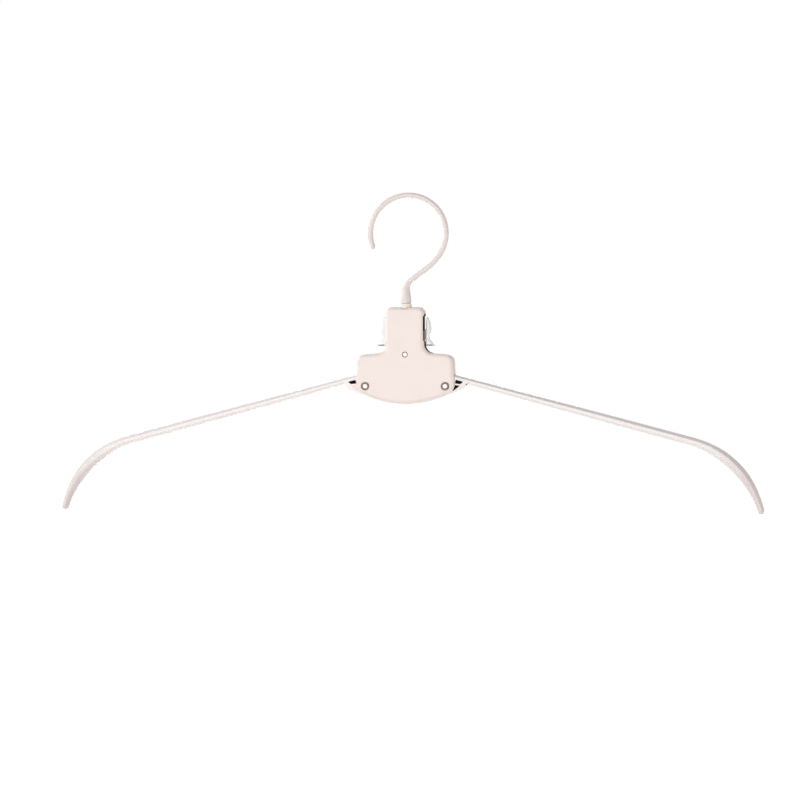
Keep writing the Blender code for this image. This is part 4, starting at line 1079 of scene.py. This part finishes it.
def root_pockets(finish, painted_shade):
    """Pockets in the two faces of the flared root, the upper ones deep, with a rib between them. Both upper
    pockets, and the lower and end pockets of the -Y face, are lined with painted shade.
    """
    cutters = []
    deep, shallow = ARM_WEB / 2, HUB_HALF_DEPTH - POCKET_SHALLOW
    pockets = (
        (ARM_UPPER_POCKET, -1, deep, painted_shade),
        (ARM_UPPER_POCKET, 1, deep, painted_shade),
        (ARM_LOWER_POCKET, -1, deep, painted_shade),
        (ARM_LOWER_POCKET, 1, shallow, finish),
        (ARM_END_POCKET, -1, shallow, painted_shade),
    )
    for corners, side, floor, skin in pockets:
        outline = soften([arm_place(along, rise) for along, rise in corners], POCKET_CORNER)
        cutters.append(prism("pocket", outline, side * floor, side * (HUB_HALF_DEPTH + OVERCUT), skin))
    return cutters


def bar_station(centre, across, height, depth):
    return at(centre, 0.0), at(across, 0.0), DEEP, height / 2 - SKIN, depth / 2


def bar_stations():
    """Stations along the right arm's bar: its straight part, its bend and its rounded end."""
    start = arm_place(0.0, ARM_RISE)
    bend_centre = start + ALONG * ARM_STRAIGHT_LENGTH - RISE * ARM_BEND_RADIUS
    stations = []
    for k in range(ARM_STRAIGHT_STEPS):
        share = k / ARM_STRAIGHT_STEPS
        deepening = smooth((share - DEPTH_RISE_START) / (1 - DEPTH_RISE_START))
        height = between(ARM_ROOT_HEIGHT, ARM_MIDDLE_HEIGHT, smooth(share / HEIGHT_RISE_END))
        depth = between(ARM_ROOT_DEPTH, ARM_SHOULDER_DEPTH, deepening)
        stations.append(bar_station(start + ALONG * (ARM_STRAIGHT_LENGTH * share), RISE, height, depth))
    for k in range(ARM_BEND_STEPS + 1):
        share = k / ARM_BEND_STEPS
        outward = polar((0.0, 0.0), 1.0, pi / 2 - ARM_SLOPE - ARM_BEND_ANGLE * share)
        swell = smooth(share / SWELL_END)
        taper = smooth((share - TAPER_START) / (1 - TAPER_START))
        height = between(between(ARM_MIDDLE_HEIGHT, ARM_SHOULDER_HEIGHT, swell), ARM_TIP_HEIGHT, taper)
        depth = between(ARM_SHOULDER_DEPTH, ARM_TIP_DEPTH, taper)
        stations.append(bar_station(bend_centre + outward * ARM_BEND_RADIUS, outward, height, depth))
    end, across, _, half_height, half_depth = stations[-1]
    onward = Vector((across.z, 0.0, -across.x))
    for turn in TIP_ROUNDING:
        centre = end + onward * (half_height * ARM_TIP_BLUNTNESS * sin(turn))
        stations.append((centre, across, DEEP, half_height * cos(turn), half_depth * cos(turn)))
    return stations


def make_arm(name, turn, finish, painted_shade):
    """Arm of the right side. The left one is the same moulding, turned half round the vertical."""
    stations = bar_stations()
    sections = [bevelled(k / len(stations)) for k in range(len(stations))]
    arm = sweep(name, stations, sections, finish)
    join(arm, make_flare(finish), make_pinion(finish))
    cut(arm, *root_pockets(finish, painted_shade))
    drill(arm, [ARM_PIVOT], PIN_HOLE_RADIUS, -CASING_DEPTH, CASING_DEPTH, finish)
    arm.data.transform(turn)
    return arm


def tab_curve():
    """Outer face of the finger tab from top to foot: a crown, a waist and a lip for the fingertip."""
    profile = (TAB_TOP, TAB_SHOULDER, TAB_CROWN, TAB_WAIST, TAB_FLARE, TAB_LIP)
    points = []
    for out, level in zip(profile, TAB_LEVELS):
        points.append(Vector((NECK_HALF_WIDTH + out, TAB_TOP_Z - TAB_HEIGHT * level)))
    return flow_through(points, TAB_STEPS)


def tab_section(outer_x, z, shrink):
    """Level section of the finger tab, its corners well rounded."""
    low_x, high_x = TAB_INNER_X + TAB_SETBACK + shrink, outer_x - shrink
    half = TAB_HALF_DEPTH - shrink
    inner = min(TAB_INNER_EDGE, (high_x - low_x) * TAB_INNER_SHARE)
    outer = min(TAB_EDGE, (high_x - low_x) * TAB_OUTER_SHARE)
    corners = (
        (high_x - outer, half - outer, outer),
        (low_x + inner, half - inner, inner),
        (low_x + inner, inner - half, inner),
        (high_x - outer, outer - half, outer),
    )
    ring = []
    for quarter, (x, y, radius) in enumerate(corners):
        start = pi / 2 * quarter
        for spot in arc((x, y), radius, start, start + pi / 2, TAB_ROUND_STEPS):
            ring.append(Vector((spot.x, spot.y, z)))
    return ring


def make_tab(name, finish):
    curve = tab_curve()
    rings = []
    for shrink, drop in quarter_round(TAB_TOP_EDGE, TAB_ROUND_STEPS):
        rings.append(tab_section(curve[0].x, TAB_TOP_Z - drop, shrink))
    for place in curve:
        if TAB_FOOT_Z + TAB_FOOT_EDGE < place.y < TAB_TOP_Z - TAB_TOP_EDGE:
            rings.append(tab_section(place.x, place.y, 0.0))
    for shrink, rise in reversed(quarter_round(TAB_FOOT_EDGE, TAB_ROUND_STEPS)):
        rings.append(tab_section(curve[-1].x, TAB_FOOT_Z + rise, shrink))
    return add_object(name, loft(rings), finish)


def sector_outline():
    """Toothed lower branch of the right lever, from the hub to its arm's pinion."""
    radii = SECTOR_RADIUS, SECTOR_RADIUS + TOOTH_HEIGHT_SHARE * GEAR_MODULE, SECTOR_ROOT
    first = TO_ARM_ANGLE + (LEVER_TEETH[0] - SECTOR_END_SPACE) * LEVER_PITCH_ANGLE
    last = TO_ARM_ANGLE + (LEVER_TEETH[-1] + SECTOR_END_SPACE) * LEVER_PITCH_ANGLE
    return [
        polar(CENTRE_PIN, SECTOR_ROOT, first),
        *teeth(CENTRE_PIN, TO_ARM_ANGLE, LEVER_TEETH, LEVER_PITCH_ANGLE, *radii),
        polar(CENTRE_PIN, SECTOR_ROOT, last),
        polar(CENTRE_PIN, LEVER_HUB_OVERLAP_RADIUS, last + SECTOR_SPREAD),
        polar(CENTRE_PIN, LEVER_HUB_OVERLAP_RADIUS, first - SECTOR_SPREAD),
    ]


def branch_outline():
    """Upper branch of the right lever, from the hub to the finger tab."""
    reach = TAB_INNER_X + LEVER_BRANCH_OVERLAP
    above, below = LEVER_BRANCH_ANGLES
    return [
        polar(CENTRE_PIN, LEVER_HUB_OVERLAP_RADIUS, above),
        Vector((reach, TAB_TOP_Z - LEVER_BRANCH_DROP)),
        Vector((reach, TAB_FOOT_Z + LEVER_BRANCH_RISE)),
        polar(CENTRE_PIN, LEVER_HUB_OVERLAP_RADIUS, below),
    ]


def spring_peg_place():
    """Middle of the right lever's peg, outside the spring's leg and just below the leg's end."""
    along = (SPRING_LEG - polar((0.0, 0.0), SPRING_COIL_RADIUS, SPRING_LEAVES)).normalized()
    outward = Vector((along.y, -along.x))
    aside = SPRING_WIRE_RADIUS + CLEARANCE + SPRING_PEG_RADIUS
    return CENTRE_PIN + SPRING_LEG - along * SPRING_LEG_END + outward * aside


def make_lever(name, turn, flanged, finish, painted_shade):
    """Lever of the right side: finger tab above its pivot, toothed sector below."""
    lever = make_tab(name, finish)
    # Grooves in both faces of the tab, just above its foot, lined with painted shade to draw a dark line
    # there.
    inner, low = TAB_INNER_X + GROOVE_INSET, TAB_FOOT_Z + GROOVE_RISE
    corners = rectangle(inner, low, inner + GROOVE_LENGTH, low + GROOVE_WIDTH)
    for side in (-1, 1):
        bottom, past = side * (TAB_HALF_DEPTH - GROOVE_DEPTH), side * (TAB_HALF_DEPTH + OVERCUT)
        cut(lever, prism("groove", corners, bottom, past, painted_shade))
    near, far = LEVER_INNER_Y, LEVER_OUTER_Y
    hub = cylinder(CENTRE_PIN, LEVER_HUB_RADIUS, near, far, finish)
    join(hub, prism("branch", branch_outline(), near, far, finish))
    join(hub, prism("sector", sector_outline(), near, far, finish))
    peg_end = SPRING_HALF_LENGTH - SPRING_WIRE_RADIUS - SPRING_PEG_END
    join(hub, cylinder(spring_peg_place(), SPRING_PEG_RADIUS, peg_end, (near + far) / 2, finish))
    if flanged:
        foot, top = TAB_FOOT_Z + FLANGE_MARGIN, TAB_TOP_Z - FLANGE_MARGIN
        corners = rectangle(TAB_INNER_X - FLANGE_REACH, foot, TAB_INNER_X + OVERCUT / 2, top)
        join(hub, prism("flange", corners, near, far, finish))
    join(lever, hub)
    drill(lever, [CENTRE_PIN], CENTRE_HOLE_RADIUS, -CASING_DEPTH, CASING_DEPTH, finish)
    lever.data.transform(turn)
    return lever


def round_off(face, side, radius, edge, shares):
    """Stations over the edge of a round face, from shares of the edge below the face and in from the side."""
    return [(face - side * edge * below, radius - edge * inward) for below, inward in shares]


def make_headed_pin(name, place, radius, front_y, finish):
    """Plain pin along Y with a slightly crowned end and a flat head sunk in the back cover."""
    under_head = SUNK_FACE_Y - PIN_HEAD_THICKNESS
    stations = [(PIN_EDGE * below - front_y, radius * share) for below, share in PIN_CROWN]
    stations += round_off(-front_y, -1, radius, PIN_EDGE, PIN_END_SHARES)
    stations += [(under_head, radius), (under_head, PIN_HEAD_RADIUS)]
    stations += round_off(SUNK_FACE_Y, 1, PIN_HEAD_RADIUS, PIN_CHAMFER, PIN_HEAD_SHARES)
    return turned(name, stations, place, "Y", finish)


def make_screw(name, place, finish):
    """Screw with a crowned head and a cross recess."""
    under_head = SUNK_FACE_Y - SCREW_HEAD_THICKNESS
    point = -CAVITY - SCREW_POINT + CLEARANCE
    stations = [(point, SCREW_POINT_RADIUS), (point + SCREW_RADIUS, SCREW_RADIUS)]
    stations += [(under_head, SCREW_RADIUS), (under_head, SCREW_HEAD_RADIUS)]
    stations += round_off(SUNK_FACE_Y, 1, SCREW_HEAD_RADIUS, SCREW_CHAMFER, SCREW_HEAD_SHARES)
    screw = turned(name, stations, place, "Y", finish)
    mouth, floor = (SUNK_FACE_Y + OVERCUT, RECESS_REACH), (SUNK_FACE_Y - RECESS_DEPTH, RECESS_FLOOR_REACH)
    for quarter in (0, 1):
        rings = []
        for y, reach in (mouth, floor):
            spots = rectangle(-reach, -RECESS_HALF_WIDTH, reach, RECESS_HALF_WIDTH)
            if quarter:
                spots = [Vector((-spot.y, spot.x)) for spot in spots]
            rings.append([at(place + spot, y) for spot in spots])
        cut(screw, add_object("recess", loft(rings), finish))
    return screw


def make_spring(finish):
    """Torsion spring round the sleeve, its legs against the levers' pegs."""
    half_length = SPRING_HALF_LENGTH
    steps = round(SPRING_TURN_STEPS * SPRING_WOUND / (2 * pi))
    route = [at(CENTRE_PIN + SPRING_LEG, half_length)]
    for k in range(steps + 1):
        spot = polar(CENTRE_PIN, SPRING_COIL_RADIUS, SPRING_LEAVES - SPRING_WOUND * k / steps)
        route.append(at(spot, between(half_length, -half_length, k / steps)))
    route.append(at(CENTRE_PIN + Vector((-SPRING_LEG.x, SPRING_LEG.y)), -half_length))
    stations = []
    for index, place in enumerate(route):
        heading = heading_at(route, index)
        outward = (Vector((place.x, 0.0, place.z)) - at(CENTRE_PIN, 0.0)).normalized()
        first = heading.cross(outward).normalized()
        second = first.cross(heading).normalized()
        stations.append((place, first, second, SPRING_WIRE_RADIUS, SPRING_WIRE_RADIUS))
    return sweep("torsion_spring", stations, [oval(SPRING_SIDES, 0.0)] * len(stations), finish)


def dress(piece, body, node):
    """Put a finished piece on its body, in place of its node."""
    weighted = piece.modifiers.new("even_normals", "WEIGHTED_NORMAL")
    weighted.keep_sharp = True
    weighted.weight = 100
    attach(piece, body)
    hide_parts(node)


def lamp(name, place, size, power):
    data = bpy.data.lights.new(name, "AREA")
    data.shape = "DISK"
    data.size = size
    data.energy = power
    made = bpy.data.objects.new(name, data)
    bpy.context.collection.objects.link(made)
    made.location = place
    made.rotation_euler = (LAMP_TARGET - place).to_track_quat("-Z", "Y").to_euler()


def seen_directly(tree):
    """1 for camera, glossy and transmission rays, 0 for the rays that light the object."""
    path = tree.nodes.new("ShaderNodeLightPath")
    total = path.outputs["Is Camera Ray"]
    for kind in ("Is Glossy Ray", "Is Transmission Ray"):
        total = add_node(tree, "Math", {0: total, 1: path.outputs[kind]}, operation="MAXIMUM")
    return total


def make_world():
    """White where it is seen directly, and a weaker white light on the object."""
    world = bpy.data.worlds.new("studio")
    bpy.context.scene.world = world
    world.use_nodes = True
    tree = world.node_tree
    white = (1.0, 1.0, 1.0, 1.0)
    soft = tree.nodes["Background"]
    set_inputs(tree, soft, {"Color": white, "Strength": AMBIENT})
    seen = add_node(tree, "Background", {"Color": white, "Strength": 1.0})
    mix = add_node(tree, "MixShader", {"Fac": seen_directly(tree), 1: soft.outputs[0], 2: seen})
    tree.links.new(mix, tree.nodes["World Output"].inputs["Surface"])


def make_floor():
    """Pale floor that shows white and keeps the object's shadow."""
    half = FLOOR_HALF_SIZE
    bm = bmesh.new()
    bm.faces.new([bm.verts.new((*corner, FLOOR_Z)) for corner in rectangle(-half, -half, half, half)])
    made = material("pale_floor", matt_paper)
    tree = made.node_tree
    inputs = {0: seen_directly(tree), 1: FLOOR_GLOW}
    strength = add_node(tree, "Math", inputs, operation="MULTIPLY")
    glow = add_node(tree, "Emission", {"Strength": strength})
    lit = tree.nodes["Principled BSDF"].outputs[0]
    total = add_node(tree, "AddShader", {0: lit, 1: glow})
    tree.links.new(total, tree.nodes["Material Output"].inputs["Surface"])
    floor = add_object("floor", bm, made)


def make_camera():
    data = bpy.data.cameras.new("camera")
    data.sensor_width = SENSOR_WIDTH
    data.lens = CAMERA_FOCAL_PIXELS / PICTURE_WIDTH * SENSOR_WIDTH
    data.clip_start, data.clip_end = CAMERA_RANGE
    camera = bpy.data.objects.new("camera", data)
    bpy.context.collection.objects.link(camera)
    level = cos(CAMERA_ELEVATION)
    aside, towards = sin(CAMERA_AZIMUTH) * level, -cos(CAMERA_AZIMUTH) * level
    back = Vector((aside, towards, sin(CAMERA_ELEVATION)))
    camera.location = CAMERA_TARGET + back * CAMERA_DISTANCE
    camera.rotation_mode = "QUATERNION"
    aim = (-back).to_track_quat("-Z", "Y")
    camera.rotation_quaternion = aim @ Quaternion((0.0, 0.0, 1.0), CAMERA_ROLL)
    bpy.context.scene.camera = camera


make_camera()
make_world()
make_floor()
for name, (place, size, power) in LAMPS.items():
    lamp(name, place, size, power)
bpy.context.scene.view_settings.view_transform = "Standard"

# Near-black plastic: painted shade in the casing's inside, its slots, holes and bosses, and the arms' pockets
painted_shade = material("shadowed_inside", plastic, *PAINTED_SHADE_FINISH, sheen=PAINTED_SHADE_SHEEN)
casing_skin = material("casing_skin", plastic, *CASING_FINISH)
# The arms' outer ends take a painted shade
arm_skin = material("arm_skin", plastic, *ARM_FINISH, greyed=True)
# Tabs: their cream, lifted towards white as painted light
tab_skin = material("tab_skin", plastic, *TAB_CREAM_AND_PAINTED_LIGHT)
hook_skin = material("hook_plastic_skin", plastic, *HOOK_FINISH)
bush_skin = material("bush_skin", plastic, *BUSH_FINISH)
spacer_skin = material("spacer_skin", plastic, *SLEEVE_FINISH)
wire = material("spring_wire", drawn_wire, *SPRING_FINISH)
hook_ring_skin = material("hook_ring_finish", turned_metal, *HOOK_RING_FINISH, (0.0, 0.0))
centre_pin_skin = material("centre_pin_finish", turned_metal, *PIN_FINISH, CENTRE_PIN)

dress(make_hook(hook_skin), "hook", "hook")
dress(make_hook_retaining_ring(hook_ring_skin), "hook", "hook_retaining_ring")
dress(make_hook_bush(bush_skin), "casing", "hook_bush")
dress(make_front_cover(casing_skin, painted_shade), "casing", "front_cover")
dress(make_back_cover(casing_skin, painted_shade), "casing", "back_cover")
dress(make_sleeve(spacer_skin), "casing", "spring_sleeve")
dress(make_spring(wire), "casing", "lever_spring")
centre_sizes = (CENTRE_PIN, CENTRE_PIN_RADIUS + PIN_SKIN, HALF_DEPTH - CENTRE_PIN_RECESS)
centre_pin = make_headed_pin("centre_pivot_pin", *centre_sizes, centre_pin_skin)
dress(centre_pin, "casing", "centre_pin")
for side, place, turn in zip(("right", "left"), ARM_PIVOTS, (NO_TURN, HALF_TURN)):
    pin_skin = material(f"{side}_pin_finish", turned_metal, *PIN_FINISH, place)
    ring_skin = material(f"{side}_ring_finish", turned_metal, *PIN_RING_FINISH, place)
    pin = make_headed_pin(f"{side}_pivot_pin", place, ARM_PIN_RADIUS + PIN_SKIN, SUNK_FACE_Y, pin_skin)
    ring = make_pin_ring(f"{side}_push_ring", place, ring_skin)
    arm = make_arm(f"{side}_arm_moulding", turn, arm_skin, painted_shade)
    lever = make_lever(f"{side}_finger_lever", turn, side == "left", tab_skin, painted_shade)
    dress(pin, "casing", f"{side}_arm_pin")
    dress(ring, "casing", f"{side}_arm_pin_ring")
    dress(arm, f"{side}_arm", f"{side}_arm")
    dress(lever, f"{side}_lever", f"{side}_lever")
for level, place in zip(("upper", "lower"), SCREWS):
    screw_skin = material(f"{level}_screw_finish", turned_metal, *SCREW_FINISH, place)
    screw = make_screw(f"{level}_screw", place, screw_skin)
    dress(screw, "casing", f"{level}_cover_screw")
